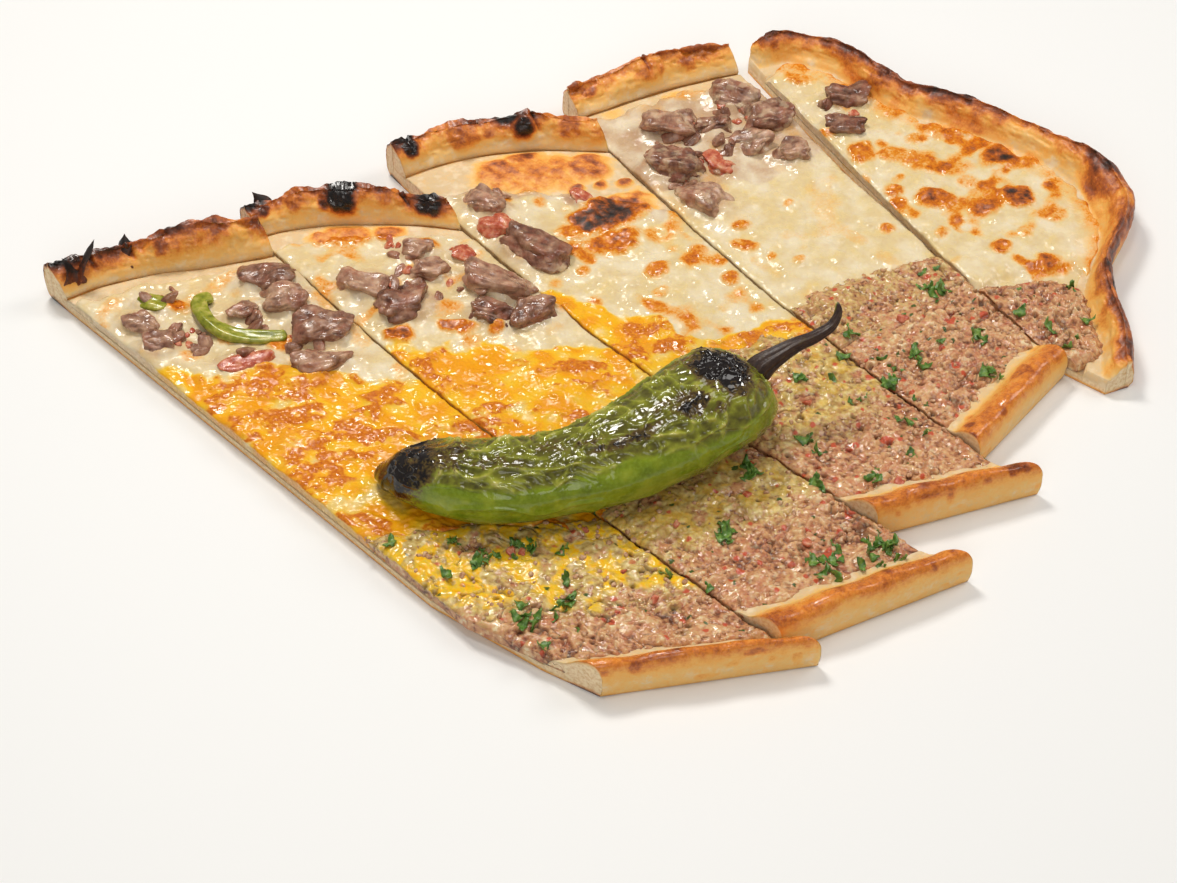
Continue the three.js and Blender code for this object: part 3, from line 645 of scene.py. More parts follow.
def baked_slice(key):
    slice_ = SLICES[key]
    seed = BREAD_SEED + ord(key)
    v = shares(int(WIDEST_SLICE / FINE)).T
    length = length_of(slice_, v)
    across = points_at(v * SLICE_WIDE, 0, seed)
    far_width = FAR_RIM_WIDTH * (1 + 0.12 * ripple(across, 14, seed))
    near_width = NEAR_RIM_WIDTH * (1 + 0.07 * ripple(across, 16, seed + 1))
    far_high = (rim_height(slice_["far_rim"], v) + ripple(across, 11, seed + 14)
                + 0.5 * ripple(across, 5, seed + 2))
    near_high = rim_height(slice_["near_rim"], v) + 0.35 * ripple(across, 9, seed + 3)
    far, near = (eased(section, SECTION_STEPS)[..., None] for section in (FAR_SECTION, NEAR_SECTION))

    # From the far foot over the rim, along the bare dough and under the filling to the near foot.
    bare_from, bare_to = DOUGH_FROM * far_width, length * lerp(*slice_["cheese_from"], v) + DOUGH_UNDER
    bare = lerp(bare_from, bare_to, shares(int((bare_to.max() - FAR_RIM_WIDTH) / FINE)))
    filled = lerp(bare_to + 2, length - 1.75 * near_width, shares(HIDDEN_ROWS))
    along = np.vstack([far[:, 0] * far_width, bare, filled, length - near[:, 0] * near_width])
    level = np.vstack([lerp(far[:, 2], far_high, far[:, 1]), bare * 0 + DOUGH_LEVEL,
                       filled * 0 + BASE_LEVEL, near[:, 1] * near_high])
    top = points_at(*plan_of(slice_, along / length, v), level)
    bare_rows = slice(len(far), len(far) + len(bare))
    dough_brown = toasted(top[bare_rows] * IN_PLAN, key)
    risen = rise(bare, bare_from, bare_from + 3) * (1 - rise(bare, bare_to - 2, bare_to))
    relief = dough_relief(top[bare_rows] * IN_PLAN, dough_brown)
    top[bare_rows, :, 2] = lerp(DOUGH_LEVEL, relief, risen)

    # The rims puff up, fold inwards, tear along the crest and wrinkle.
    near_from = len(top) - len(near)
    on_far = on_rows(top, 0, 1 - rise(far[:, 0], 0.7, 1.0))
    on_near = on_rows(top, near_from, 1 - rise(near[:, 0], 0.9, 1.3))
    inner = on_rows(top, 0, rise(far[:, 0], 0.1, 0.4))
    puff, burnt = blistered(top, key)
    scorch = rise(burnt, 0.55, 0.9) * on_far
    nicks = sum(hump(v, at, 0.011) for at in NICKS[key]) * on_far * above(top, 11, 14)
    folds = inner * (0.9 * ripple(top, 13, seed + 12) + 0.45 * ripple(top, 5, seed + 13))
    torn = 0.7 * above(top, 12, 15) * ripple(top * np.array([1, 1, 0.3]), 2.6, seed + 11, 2)
    push = rim_relief(top, seed, on_far + 0.45 * on_near, on_far, puff, 0.45)
    push += on_far * (folds + torn) + 0.3 * scorch * ripple(top, 1.5, seed + 8, 2) - 1.3 * nicks
    top = top + outward(top) * push[..., None]
    top[0, :, 2] = top[-1, :, 2] = 0

    # The far rim browns and chars at its crest, the near one stays golden and takes the butter.
    brown = rim_browning(top, far, v, CHARRED[key], slice_["bake"], 0.6, 0.18, seed)
    brown += on_rows(top, near_from, near[:, 3])
    patches = 0.13 * ripple(top, 10, seed + 5) + 0.08 * ripple(top, 3.6, seed + 6, 2)
    brown += patches * rise(brown, 0.05, 0.3) * np.where(on_near > 0, 0.35, 1)
    freckles = 0.16 * rise(ripple(top, 4, seed + 7), 0.5, 0.95) * on_near * above(top, 1, 4)
    brown = np.maximum(brown + freckles + 0.25 * nicks, burnt * on_far * above(top, 6, 9))
    brown[bare_rows] = np.maximum(brown[bare_rows], dough_brown)
    butter = np.maximum(on_near * rise(top[..., 2] / near_high, 0.7, 0.95), 0.55 * on_far)
    under = cut_feet(top, top[-1], along, lambda at, side: plan_of(slice_, at / length[0, side], v[0, side]))
    finish_bread(key, top, under, CUT_STEPS, brown, np.maximum(butter, scorch))


for slice_name in SLICES:
    baked_slice(slice_name)


# The rounded end of the bread: the same dough with one rim that follows its outer edge from the far tip
# round to the near tip. It was folded over at the corner, where the rim is widest.
END_CUT_Y = (91, -108)
END_EDGE = [(173, 91), (184.5, 84), (193, 74), (196, 58), (196, 40), (201, 22), (208.6, 1), (212.4, -23),
            (213.2, -42), (203.6, -62), (174, -75), (154, -98), (141, -111)]
END_RIM_WIDTH = 10
END_RIM_HEIGHT = 14.5
END_FOLD = dict(at=0.75, spread=0.08, wide=6, high=2.5)
END_ROUND = 280  # length of the rim
END_TIP = 0.015  # share of it that is left off where it runs out at each tip
END_SECTION_STEPS = 6
END_CUT_STEPS = 6
END_BARE_ROWS = 10
END_SEED = 140
END_CHARRED = [(0.12, 0.0, 0.05), (0.30, 0.06, 0.05), (0.40, 0.10, 0.05), (0.50, 0.08, 0.04),
               (0.80, 0.06, 0.03), (0.87, 0.24, 0.05), (0.95, 0.10, 0.03)]


def end_plan(u, share):
    """Plan place on the rounded end: u from the far tip, share from the cut to the outer edge."""
    y = lerp(*END_CUT_Y, u)
    edge = smooth_line(END_EDGE, np.ravel(u) * (len(END_EDGE) - 1)).reshape(*np.shape(u), 2)
    return lerp(CUTS["de_right"](y) + KNIFE_GAP / 2, edge[..., 0], share), lerp(y, edge[..., 1], share)


def end_width(u):
    (x0, y0), (x1, y1) = end_plan(u, 0.0), end_plan(u, 1.0)
    return np.hypot(x1 - x0, y1 - y0)


def end_rim_width(u):
    return np.minimum(END_RIM_WIDTH + END_FOLD["wide"] * hump(u, END_FOLD["at"], END_FOLD["spread"]),
                      0.8 * end_width(u))


def baked_end():
    u = lerp(END_TIP, 1 - END_TIP, shares(int((END_ROUND + 10) / FINE)).T)
    width, rim = end_width(u), end_rim_width(u)
    around = points_at(u * END_ROUND, 0, END_SEED)
    rim = rim * (1 + 0.1 * ripple(around, 15, END_SEED))
    high = (END_RIM_HEIGHT * np.minimum(1, 0.6 + width / 40)
            + END_FOLD["high"] * hump(u, END_FOLD["at"], END_FOLD["spread"]) + 0.8 * np.sin(31 * u)
            + 0.6 * ripple(around, 6, END_SEED + 1))
    section = eased(END_SECTION, END_SECTION_STEPS)[..., None]
    farthest = width - 0.4
    bare = np.minimum(DOUGH_FROM * rim + DOUGH_UNDER * shares(END_BARE_ROWS), farthest)
    filled = np.minimum(lerp(bare[-1:] + 1, width, shares(HIDDEN_ROWS)), width)
    across = np.vstack([np.minimum(section[:, 0] * rim, farthest), bare, filled])
    level = np.vstack([lerp(section[:, 2], high, section[:, 1]), bare * 0 + DOUGH_LEVEL,
                       filled * 0 + BASE_LEVEL])
    top = points_at(*end_plan(u, 1 - across / width), level)
    cut_foot = top[-1] * IN_PLAN
    on_rim = on_rows(top, 0, 1 - rise(section[:, 0], 0.7, 1.0))
    puff, burnt = blistered(top, "e")
    top = top + outward(top) * rim_relief(top, END_SEED, on_rim, on_rim, puff, 0.4)[..., None]
    top[0, :, 2] = 0

    brown = rim_browning(top, section, u, END_CHARRED, 0.96, 0.58, 0.14, END_SEED)
    patches = 0.16 * ripple(top, 13, END_SEED + 5) + 0.12 * ripple(top, 4, END_SEED + 6)
    brown += patches * rise(brown, 0.05, 0.3)
    brown = np.maximum(np.maximum(brown, burnt * on_rim * above(top, 6, 9)), toasted(top, "e"))
    under = cut_feet(top, cut_foot, across, lambda at, side: end_plan(u[0, side], 1 - at / width[0, side]))
    finish_bread("e", top, under, END_CUT_STEPS, brown, 0.3 * on_rim)


baked_end()


# The melted cheese: cream cheese sauce at the far side of two slices, white cheese on the next two, and
# strong orange cheese before the meat. It ran flat in the oven, then blistered and browned on top.
CHEESE_LEVEL = 7.3
CHEESE_GRID = 0.52
CHEESE_STEPS = 5  # rows down its cut sides
CHEESE_OVER = 7  # how far the cheese ran out over the bare dough
CHEESE_FROM = 1.13  # it stops short of the far rim's foot, in widths of the rim
CHEESE_UNDER = 9  # how far the cheese runs on under the mince

# For each slice, y at the left, middle and right of its width where white cheese and orange cheese begin,
# counted from its far edge. A line that lies past the slice means all of that cheese or none.
CHEESE_BANDS = {
    "a": dict(white=(300, 300, 300), orange=(112, 88, 54)),
    "b": dict(white=(300, 300, 300), orange=(72, 49, 14)),
    "c": dict(white=(118, 86, 52), orange=(54, 0, -13)),
    "d": dict(white=(60, 45, 33), orange=(-90, -90, -90)),
}
GOLDEN = {"a": 0.24, "b": 0.28, "c": 0.4, "d": 0.14, "e": 0.48}  # how far the pale cheese turned golden


def cells(place, size, seed):
    """For each place the distance to the nearest of scattered seeds, in cell widths, and its number."""
    flat = place[..., :2] / size
    base = np.floor(flat)
    best = np.full(flat.shape[:-1], 9.0)
    number = np.zeros(flat.shape[:-1])
    for step in itertools.product((-1, 0, 1), repeat=2):
        home = base + np.array(step)
        tag = points_at(home[..., 0], home[..., 1])
        centre = home + 0.1 + 0.8 * np.stack([chance(tag, seed), chance(tag, seed + 1)], -1)
        gap = np.linalg.norm(flat - centre, axis=-1)
        number = np.where(gap < best, chance(tag, seed + 2), number)
        best = np.minimum(gap, best)
    return best, number


def browned_ridges(place):
    """Strength of the blistered brown bands of the orange cheese, which run across the pull of the oven."""
    x, y = place[..., 0], place[..., 1]
    drawn = points_at((x - y) / 1.8, x + y) / math.sqrt(2)
    drawn = drawn + 1.6 * points_at(ripple(place, 6, 21), ripple(place, 6, 22))
    return rise(ripple(drawn, 4.4, 23, 3) + 0.36 * ripple(place, 16, 24), -0.2, 0.42)


def cheese_surface(place, key, white, orange):
    """Height over its mean level, browning, and tint from cream (0) to orange (1)."""
    ridges = browned_ridges(place) * orange
    gap, number = cells(place, 3.4, 31)
    size = 0.25 + 0.3 * number
    bubble = rise(-gap, -size, -size * 0.35) * (number > 0.35) * (0.35 * orange + 0.3 * white)
    collar = hump(gap, size, 0.12) * (number > 0.35) * orange
    spots = toasted(place, key)
    ruffled = spots * (0.5 + 0.5 * ripple(place, 1.7, 33))
    fine_gap, fine_number = cells(place, 1.7, 36)
    froth = rise(-fine_gap, -0.42, -0.16) * (fine_number > 0.5) * (0.1 + 0.14 * orange)
    waves = 0.24 + 0.3 * white - 0.18 * orange
    height = (0.7 * ripple(place, 12, 25) + waves * ripple(place, 5.2, 26, 2) + froth
              + 0.62 * ridges + 0.5 * bubble + 0.16 * ripple(place, 1.5, 27) * (0.6 + 0.6 * ridges)
              + 0.8 * rise(spots, 0.1, 0.45) + 0.35 * ruffled)
    brown = 0.5 * ridges * (0.78 + 0.6 * ripple(place, 2.6, 28, 2)) + 0.22 * collar * rise(ridges, 0, 0.4)
    brown = np.minimum(brown * (1 + 0.5 * ripple(place, 9, 37, 2)), 0.44)
    brown = np.maximum(brown, spots * (1 + 0.18 * ripple(place, 1.8, 29)))
    gold = rise(ripple(place, 8, 34, 2), 0.05, 0.75) * (1 - orange)
    brown = np.maximum(brown, GOLDEN[key] * gold * (1 + 0.3 * ripple(place, 2, 35)))
    tint = 0.32 * white * (1 - orange) + orange * (0.84 + 0.3 * ripple(place, 5.5, 30))
    return height, brown, tint


def edge_of(band, v):
    return np.interp(v, (0, 0.5, 1), band)


# Diced meat, tomato and pepper of each slice: name, x, y, length, width, height and turn in degrees.
TOPPINGS = {
    "a": [("meat_a1", -30, 122, 16, 10, 7.5, -38), ("meat_a2", -31, 109.5, 15, 10, 8, -45),
          ("meat_a3", -32, 91, 16, 12, 8.5, -42), ("meat_a4", -44, 80, 18, 9, 7, -30),
          ("meat_a5", -73, 137, 10, 8, 6, -60), ("meat_a6", -75, 124, 12, 9, 6, -35),
          ("tomato_a1", -58, 98, 19, 7, 4.5, -40), ("meat_a7", -44, 117, 10, 7, 5.5, -20),
          ("pepper_a1", -65, 141, 11, 7, 4, -60)],
    "b": [("meat_b1", -9, 97, 15, 9, 7, -62), ("meat_b2", -5, 80, 18, 11, 8, -35),
          ("meat_b3", 15, 97, 11, 8, 6, -50), ("meat_b4", 9, 87.5, 11, 7, 5.5, -30),
          ("meat_b5", 22, 67, 20, 10, 8, -70), ("meat_b6", 12, 57, 13, 8, 7.5, -60),
          ("meat_b7", 23, 48, 13, 9, 7, -30), ("tomato_b1", 25, 86, 8, 6, 4.5, -70)],
    "c": [("meat_c1", 48, 98, 14, 10, 7.5, -75), ("tomato_c1", 42, 86, 11, 7, 5.5, -80),
          ("meat_c2", 42, 71, 19, 12, 8, -72), ("tomato_c2", 73, 76, 10, 5, 4, -80)],
    "d": [("meat_d1", 120, 81, 16, 11, 7.5, -40), ("meat_d2", 148, 76, 15, 9, 7.5, -70),
          ("meat_d3", 132, 71, 10, 7, 6, -45), ("meat_d4", 107, 65, 18, 13, 8.5, -55),
          ("meat_d5", 103, 46, 15, 9, 7.5, -75), ("meat_d6", 150, 57, 17, 10, 8.5, -30),
          ("meat_d7", 134, 55, 14, 8, 7, -45), ("meat_d8", 141, 41, 12, 8, 6.5, -40),
          ("tomato_d1", 119, 56, 12, 7, 5, -60)],
    "e": [("meat_e1", 177, 47, 14, 9, 8, -42), ("meat_e2", 166, 37, 12, 8, 6.5, -55)],
}


def toppings_near(place, key):
    """How close each place is to a piece of meat, from 1 at its foot to 0 a few millimetres away."""
    close = np.zeros(place.shape[:-1])
    for name, x, y, long, wide, tall, turn in TOPPINGS[key]:
        along, aside = along_and_aside(place, x, y, turn)
        gap = (np.hypot(along / long * 2, aside / wide * 2) - 1) * wide / 2
        close = np.maximum(close, np.exp(-np.maximum(gap, 0) / 2.6) * min(1, tall / 7))
    return close


def cheese_finish():
    cheese = Finish("melted cheese")
    tint = cheese.uneven("tint", cheese.cloud(4.0, 3.0, 0.5), 0.2, 0.7, 0.3, 1.0)
    base = cheese.ramp(tint, [(0.0, (200, 168, 132)), (0.14, (204, 172, 134)), (0.32, (224, 201, 150)),
                              (0.5, (236, 198, 92)), (0.66, (242, 190, 42)), (0.85, (244, 178, 22)),
                              (1.0, (238, 158, 14))])
    juice = cheese.times(cheese.span(cheese.grain(6.0, 4.0), 0.52, 0.7, 0.0, 0.6),
                         cheese.span(cheese.mark("tint"), 0.12, 0.34, 1.0, 0.0))
    base = cheese.mix(juice, base, shade(190, 142, 112))
    milk = cheese.times(cheese.span(cheese.grain(9.0, 4.0), 0.42, 0.66, 0.0, 0.75),
                        cheese.span(cheese.mark("tint"), 0.4, 0.7, 1.0, 0.0))
    base = cheese.mix(milk, base, shade(236, 223, 194))
    bake = cheese.uneven("bake", cheese.cloud(0.9, 3.0, 0.46), 0.02, 0.3)
    browned = cheese.ramp(bake, [(0.0, (242, 190, 62)), (0.28, (234, 154, 32)), (0.46, (206, 110, 16)),
                                 (0.64, (150, 72, 12)), (0.8, (76, 38, 14)), (1.0, (26, 19, 16))])
    colour = cheese.mix(cheese.span(bake, 0.05, 0.36), base, browned)
    side = cheese.ramp(cheese.grain(1.4, 3.0), [(0.3, (186, 142, 98)), (0.65, (222, 190, 140))])
    colour = cheese.mix(cheese.times(cheese.mark("side"), 0.6), colour, side)
    wet = cheese.span(cheese.grain(4.0, 3.0), 0.36, 0.62, 0.1, 0.33)
    dry = cheese.span(cheese.mark("bake"), 0.45, 0.75, 0.0, 0.34)
    cheese.coat(colour, cheese.plus(wet, dry), 0.42)
    cheese.soft(0.16, 1.6, (1.0, 0.8, 0.35))
    cheese.bump(cheese.grain(2.4, 1.5), 0.4, 0.5)
    return cheese.material


melted_cheese = cheese_finish()
CHEESE_TOPS = {}


def side_relief(place):
    return 0.1 + 0.12 * ripple(place, 1.9, 73)


def slice_layer(slice_, ends, spacing):
    """Places of a filling on a slice, with the shares of its width and each place's way from its start
    and from its stop, which are both counted from the slice's far edge."""
    v = shares(int(SLICE_WIDE / spacing)).T
    length = length_of(slice_, v)
    start, stop = ends(slice_, length, v)
    along = lerp(start, stop, shares(int((stop - start).max() / spacing)))
    return points_at(*plan_of(slice_, along / length, v)), v, along - start, along - stop


def edge_sag(v, spread):
    """How far the edges of a filling sank at both cuts of a slice."""
    return hump(np.minimum(v, 1 - v) * NARROWEST_SLICE, 0, spread)


def flat_floor(top):
    """Outline of a filling's underside, straight below the edges of its top."""
    edges = {"far": top[0], "near": top[-1], "left": top[:, 0], "right": top[:, -1]}
    return {side: edge * IN_PLAN + [0, 0, FILLING_FLOOR] for side, edge in edges.items()}


def finish_cheese(key, place, level, brown, tint):
    CHEESE_TOPS[key] = top = points_at(place[..., 0], place[..., 1], level)
    points, faces, hangs, depth = closed_layer(top, flat_floor(top), CHEESE_STEPS, side_relief)
    marks = {"bake": brown.ravel()[hangs] * (1 - rise(depth, 0.2, 0.9)), "tint": tint.ravel()[hangs],
             "side": rise(depth, 0.3, 1.2)}
    make_piece(f"melted_cheese_{key}", points, faces, marks, melted_cheese, "cheese", f"cheese_{key}")


def cheese_ends(slice_, length, v):
    start = length * lerp(*slice_["cheese_from"], v) - CHEESE_OVER
    stop = length * lerp(*slice_["mince_from"], v) + CHEESE_UNDER
    return np.maximum(start, CHEESE_FROM * FAR_RIM_WIDTH), stop


def melted_slice(key):
    place, v, from_start, from_stop = slice_layer(SLICES[key], cheese_ends, CHEESE_GRID)
    wander = 6 * ripple(place, 11, 41) + 2.6 * ripple(place, 3.4, 42, 2) - place[..., 1]
    white = rise(edge_of(CHEESE_BANDS[key]["white"], v) + wander, -3, 3)
    orange = rise(edge_of(CHEESE_BANDS[key]["orange"], v) + wander, -2.2, 2.2)
    height, brown, tint = cheese_surface(place, key, white, orange)
    close = toppings_near(place, key)
    creep = 2.6 * close * (1 + 0.3 * ripple(place, 4, 40))
    far_edge = 1 - rise(from_start + 1.4 * ripple(place, 4, 43), 0.4, 5)
    near_edge = rise(from_stop + 8 + 4.2 * ripple(place, 8, 44, 3), -1.5, 4.5)
    level = CHEESE_LEVEL + height + creep - 2.2 * far_edge - 3.0 * near_edge - 0.45 * edge_sag(v, 0.7)
    finish_cheese(key, place, level, brown, tint - 0.16 * close * (1 - orange))


for slice_name in SLICES:
    melted_slice(slice_name)

# On the rounded end, where cheese and mince start and stop at the cut and at the rim, as share of the rim's
# run from the far tip.
END_CHEESE = dict(start=(0.07, 0.09), stop=(0.73, 0.87))
END_MINCE = dict(start=(0.7, 0.84), stop=(0.93, 0.93))
END_CUT_LONG = 200
END_RIM_LAP = 0.6  # how far they climb the foot of the rim


def end_layer(start, stop, spacing):
    """Places of a filling on the rounded end, from its start to its stop and from the cut to a little over
    the foot of the rim, with each place's way from both of these, and the shares of its rows."""
    t = shares(int(WIDEST_SLICE / spacing)).T
    i = shares(int(END_CUT_LONG * (np.mean(stop) - np.mean(start)) / spacing))
    u = lerp(lerp(*start, t), lerp(*stop, t), i)
    width = end_width(u)
    reach = width - end_rim_width(u) + END_RIM_LAP
    return points_at(*end_plan(u, t * reach / width)), t * reach, t * reach - reach, i


def melted_end():
    place, across, from_rim, i = end_layer(**END_CHEESE, spacing=CHEESE_GRID)
    height, brown, tint = cheese_surface(place, "e", 1.0, 0.0)
    rim_foot = rise(from_rim + 1.2 * ripple(place, 4, 43), -3.2, 0.3)
    ends = (1 - rise(i * 140, 0, 4)) + rise(i * 146 - 136 + 5 * ripple(place, 8, 44, 3), -3, 5)
    brown = np.maximum(brown, 0.34 * rise(from_rim, -13, -2) * (0.75 + 0.5 * ripple(place, 4, 38, 2)))
    level = CHEESE_LEVEL + height + 2.6 * toppings_near(place, "e") - 1.4 * rim_foot - 2.4 * ends
    finish_cheese("e", place, level - 0.45 * hump(across, 0, 0.7), brown, tint)


melted_end()


# The minced meat: raw mince with onion, tomato and parsley, spread on the dough before it bakes, so it is
# a crumbly layer of fine grains with cracks. Beaten egg and cheese ran over the part next to the cheese.
MINCE_LEVEL = 8.0
MINCE_GRID = 0.46
MINCE_STEPS = 7  # rows down its cut sides
MINCE_OVER = 3  # how far the mince was spread over the end of the cheese
MINCE_CLEAR = 0.8  # and how far it stays from the foot of the near rim

# For each slice, y at the left, middle and right of its width where the egg over the mince ends.
EGG_ENDS = {"a": (-30, -58, -74), "b": (-60, -66, -74), "c": (-50, -58, -64), "d": (-40, -42, -44)}
EGG_STRENGTH = {"a": 1.0, "b": 0.66, "c": 0.64, "d": 0.36, "e": 0.12}
TOMATO_RED_AT = {  # bits of tomato that show in the mince, x, y, size
    "a": [(-31, -50, 1.6), (-60, -73, 1.5), (-52, -62, 1.3)],
    "b": [(15, -90, 3.0), (31, -84, 2.0), (-10, -75, 1.6)],
    "c": [(62, -72, 2.2), (80, -50, 1.8), (54, -66, 1.6)],
    "d": [(91, -84, 3.2), (118, -52, 2.0), (104, -66, 2.2), (128, -58, 1.8)],
    "e": [(150, -58, 1.8), (160, -72, 1.6)],
}


def mince_surface(place, key, egg_cover):
    """Height over its mean level and the marks of tone, egg, painted shade in its pits, tomato and herb."""
    bent = place + 0.8 * points_at(ripple(place, 2.4, 50), ripple(place, 2.4, 52))
    long_way = (ripple(place, 8, 53) > 0)[..., None]
    strand = bent * np.where(long_way, [0.62, 1.3, 1], [1.3, 0.62, 1])
    gap, number = cells(strand, 2.7, 51)
    fine_gap, fine_number = cells(bent, 1.1, 54)
    lumps = ripple(place, 7.5, 57, 3)
    crumbs = 0.85 * (0.6 - gap) + 0.75 * (number - 0.5) + 0.3 * (0.6 - fine_gap) + 0.3 * (fine_number - 0.5)
    crumbs *= 0.5 + 0.7 * rise(ripple(place, 6.5, 76, 2), -0.4, 0.4)
    crack = np.abs(ripple(place, 9, 58) + 0.5 * ripple(place, 3, 59))
    crack = (1 - rise(crack, 0.0, 0.11)) * rise(ripple(place, 14, 60), -0.15, 0.25)
    hole_gap, hole_number = cells(place, 6.5, 62)
    hole = (1 - rise(hole_gap + 0.06 * ripple(place, 1.5, 64), 0.06, 0.17)) * (hole_number > 0.7)
    film = egg_cover * rise(ripple(place, 5.5, 65, 3) + 0.25 * lumps, -0.75, 0.15)
    height = (lumps + 1.15 * crumbs * (1 - 0.6 * film) + 0.2 * ripple(place, 1.5, 55) + 0.25 * film
              - 1.4 * crack - 1.6 * hole)

    red = np.zeros(gap.shape)
    for x, y, size in TOMATO_RED_AT[key]:
        reach = np.hypot(place[..., 0] - x, place[..., 1] - y) / size + 0.3 * ripple(place, 1.6, 66)
        red = np.maximum(red, 1 - rise(reach, 0.6, 1.0))
    red_gap, red_number = cells(place, 5.2, 67)
    red = np.maximum(red, (1 - rise(red_gap + 0.1 * ripple(place, 1.2, 68), 0.10, 0.2)) * (red_number > 0.8))
    herb_gap, herb_number = cells(place, 4.0, 69)
    herb = (1 - rise(herb_gap + 0.16 * ripple(place, 0.9, 70), 0.07, 0.16)) * (herb_number > 0.88)
    # The tone is lighter on the tops of lumps and crumbs and darker towards their edges, which is painted
    # light and shade, over tone that differs at random from crumb to crumb.
    tone = 0.38 * number + 0.32 * fine_number + 0.16 + 0.24 * lumps - 0.3 * (gap - 0.5)
    # Darker seams between the crumbs, and with the cracks and holes the pits: painted shade.
    painted_seam_shade = 0.75 * rise(gap + 0.4 * fine_gap, 0.76, 1.05) * (1 - 0.5 * film)
    pit = np.maximum(np.maximum(crack, hole), painted_seam_shade)
    return height, dict(tone=tone, egg=film, pit=pit, red=red * (1 - 0.5 * film), herb=herb)


def mince_finish():
    mince = Finish("minced meat")
    speck = mince.cloud(1.2, 4.0, 1.3)
    tone = mince.plus(mince.mark("tone"), speck)
    meat = mince.ramp(tone, [(0.0, (92, 54, 38)), (0.25, (156, 102, 70)), (0.5, (196, 141, 99)),
                             (0.74, (209, 160, 113)), (0.92, (219, 180, 133)), (1.0, (232, 210, 170))])
    blotch = mince.span(mince.grain(3.4, 3.0), 0.5, 0.62)
    meat = mince.mix(mince.times(blotch, 0.42), meat, shade(190, 110, 82))
    # Pale cream specks: bits of fat, and also painted glints.
    fat_and_glints = mince.span(mince.grain(2.2, 4.0), 0.57, 0.68)
    meat = mince.mix(mince.times(fat_and_glints, 0.6), meat, shade(224, 200, 160))
    film = mince.ramp(mince.grain(2.2, 3.0), [(0.34, (170, 132, 74)), (0.5, (200, 170, 102)),
                                              (0.66, (224, 202, 138))])
    yolk = mince.ramp(mince.grain(2.0, 3.0), [(0.32, (222, 184, 74)), (0.5, (240, 192, 40)),
                                              (0.68, (244, 176, 18))])
    pools = mince.times(mince.span(mince.grain(6.0, 4.0), 0.43, 0.51),
                        mince.span(mince.mark("egg"), 0.5, 0.9))
    film = mince.mix(pools, film, yolk)
    colour = mince.mix(mince.span(mince.plus(mince.mark("egg"), speck), 0.1, 0.6), meat, film)
    colour = mince.mix(mince.span(mince.mark("red"), 0.2, 0.7), colour, shade(196, 88, 58))
    colour = mince.mix(mince.span(mince.mark("herb"), 0.3, 0.7), colour, shade(74, 92, 40))
    # Painted shade in the cracks, holes and seams between the crumbs.
    colour = mince.mix(mince.times(mince.mark("pit"), 0.75), colour, shade(84, 52, 38))
    mince.coat(colour, mince.span(mince.grain(4.0, 3.0), 0.38, 0.62, 0.06, 0.3), 0.42)
    mince.soft(0.22, 1.4)
    mince.bump(mince.grain(1.7, 2.0), 0.4, 0.45)
    return mince.material


minced_meat = mince_finish()
MINCE_TOPS = {}


def crumble_relief(place):
    return 0.1 + 0.25 * (1 - cells(place[..., [0, 2, 1]] + place[..., [1, 1, 1]], 1.6, 74)[0])


def finish_mince(key, place, level, marks):
    MINCE_TOPS[key] = top = points_at(place[..., 0], place[..., 1], level)
    points, faces, hangs, depth = closed_layer(top, flat_floor(top), MINCE_STEPS, crumble_relief)
    marks = {name: values.ravel()[hangs] * (1 - 0.8 * rise(depth, 0.3, 1.2) * (name != "tone"))
             for name, values in marks.items()}
    marks["tone"] = marks["tone"] + 0.25 * ripple(points, 1.5, 75) * (depth > 0)
    make_piece(f"minced_meat_{key}", points, faces, marks, minced_meat, "mince", f"mince_{key}")


def mince_ends(slice_, length, v):
    return length * lerp(*slice_["mince_from"], v) - MINCE_OVER, length - NEAR_RIM_WIDTH - MINCE_CLEAR


def rim_lap(place, from_rim):
    """How far the mince thins out where it meets the foot of a rim."""
    return rise(from_rim + 1.6 * ripple(place, 3.2, 48, 2), -3.4, -0.4)


def minced_slice(key):
    place, v, from_start, from_stop = slice_layer(SLICES[key], mince_ends, MINCE_GRID)
    wander = 5 * ripple(place, 10, 45) + 2.5 * ripple(place, 3.5, 46)
    cover = EGG_STRENGTH[key] * rise(place[..., 1] - edge_of(EGG_ENDS[key], v) + wander, -9, 12)
    height, marks = mince_surface(place, key, cover)
    start_edge = 1 - rise(from_start + 1.5 * ripple(place, 4, 47), 0.5, 5)
    level = MINCE_LEVEL + height - 1.6 * start_edge - 1.9 * rim_lap(place, from_stop)
    finish_mince(key, place, level - 0.5 * edge_sag(v, 0.6), marks)


for slice_name in SLICES:
    minced_slice(slice_name)


def minced_end():
    place, across, from_rim, i = end_layer(**END_MINCE, spacing=MINCE_GRID)
    cover = EGG_STRENGTH["e"] * rise(place[..., 1] + 45 + 5 * ripple(place, 10, 45), -9, 12)
    height, marks = mince_surface(place, "e", cover)
    ends = (1 - rise(i * 44, 0, 3)) + rise(i * 44 - 41, -1, 3)
    level = MINCE_LEVEL + height - 1.9 * rim_lap(place, from_rim) - 1.6 * ends - 0.5 * hump(across, 0, 0.6)
    finish_mince("e", place, level, marks)


minced_end()


# The diced meat and tomato: cubes cut by hand across the fibres of the meat and scattered on the cheese.
# They shrink and darken as they roast, sit a little sunk in the cheese and shine with their own fat.
DICE_STEPS = 20  # grid squares along a side
DICE_SUNK = 1.5
DICE_FACETS = 4
DICE_BLOCK = np.array([1.14, 1.2, 1.12])  # the cube that a dice was cut as, before its corners went


def dice_grid(steps):
    """Points and faces of a cube whose six sides are gridded."""
    t = np.linspace(-1, 1, steps + 1)
    a, b = np.meshgrid(t, t, indexing="ij")
    sides = [(a, b, 1), (b, a, -1), (1, a, b), (-1, b, a), (b, 1, a), (a, -1, b)]
    points = [points_at(*side).reshape(-1, 3) for side in sides]
    side_faces = quads(np.arange(a.size).reshape(a.shape))
    return np.vstack(points), np.vstack([side_faces + number * a.size for number in range(6)]).tolist()


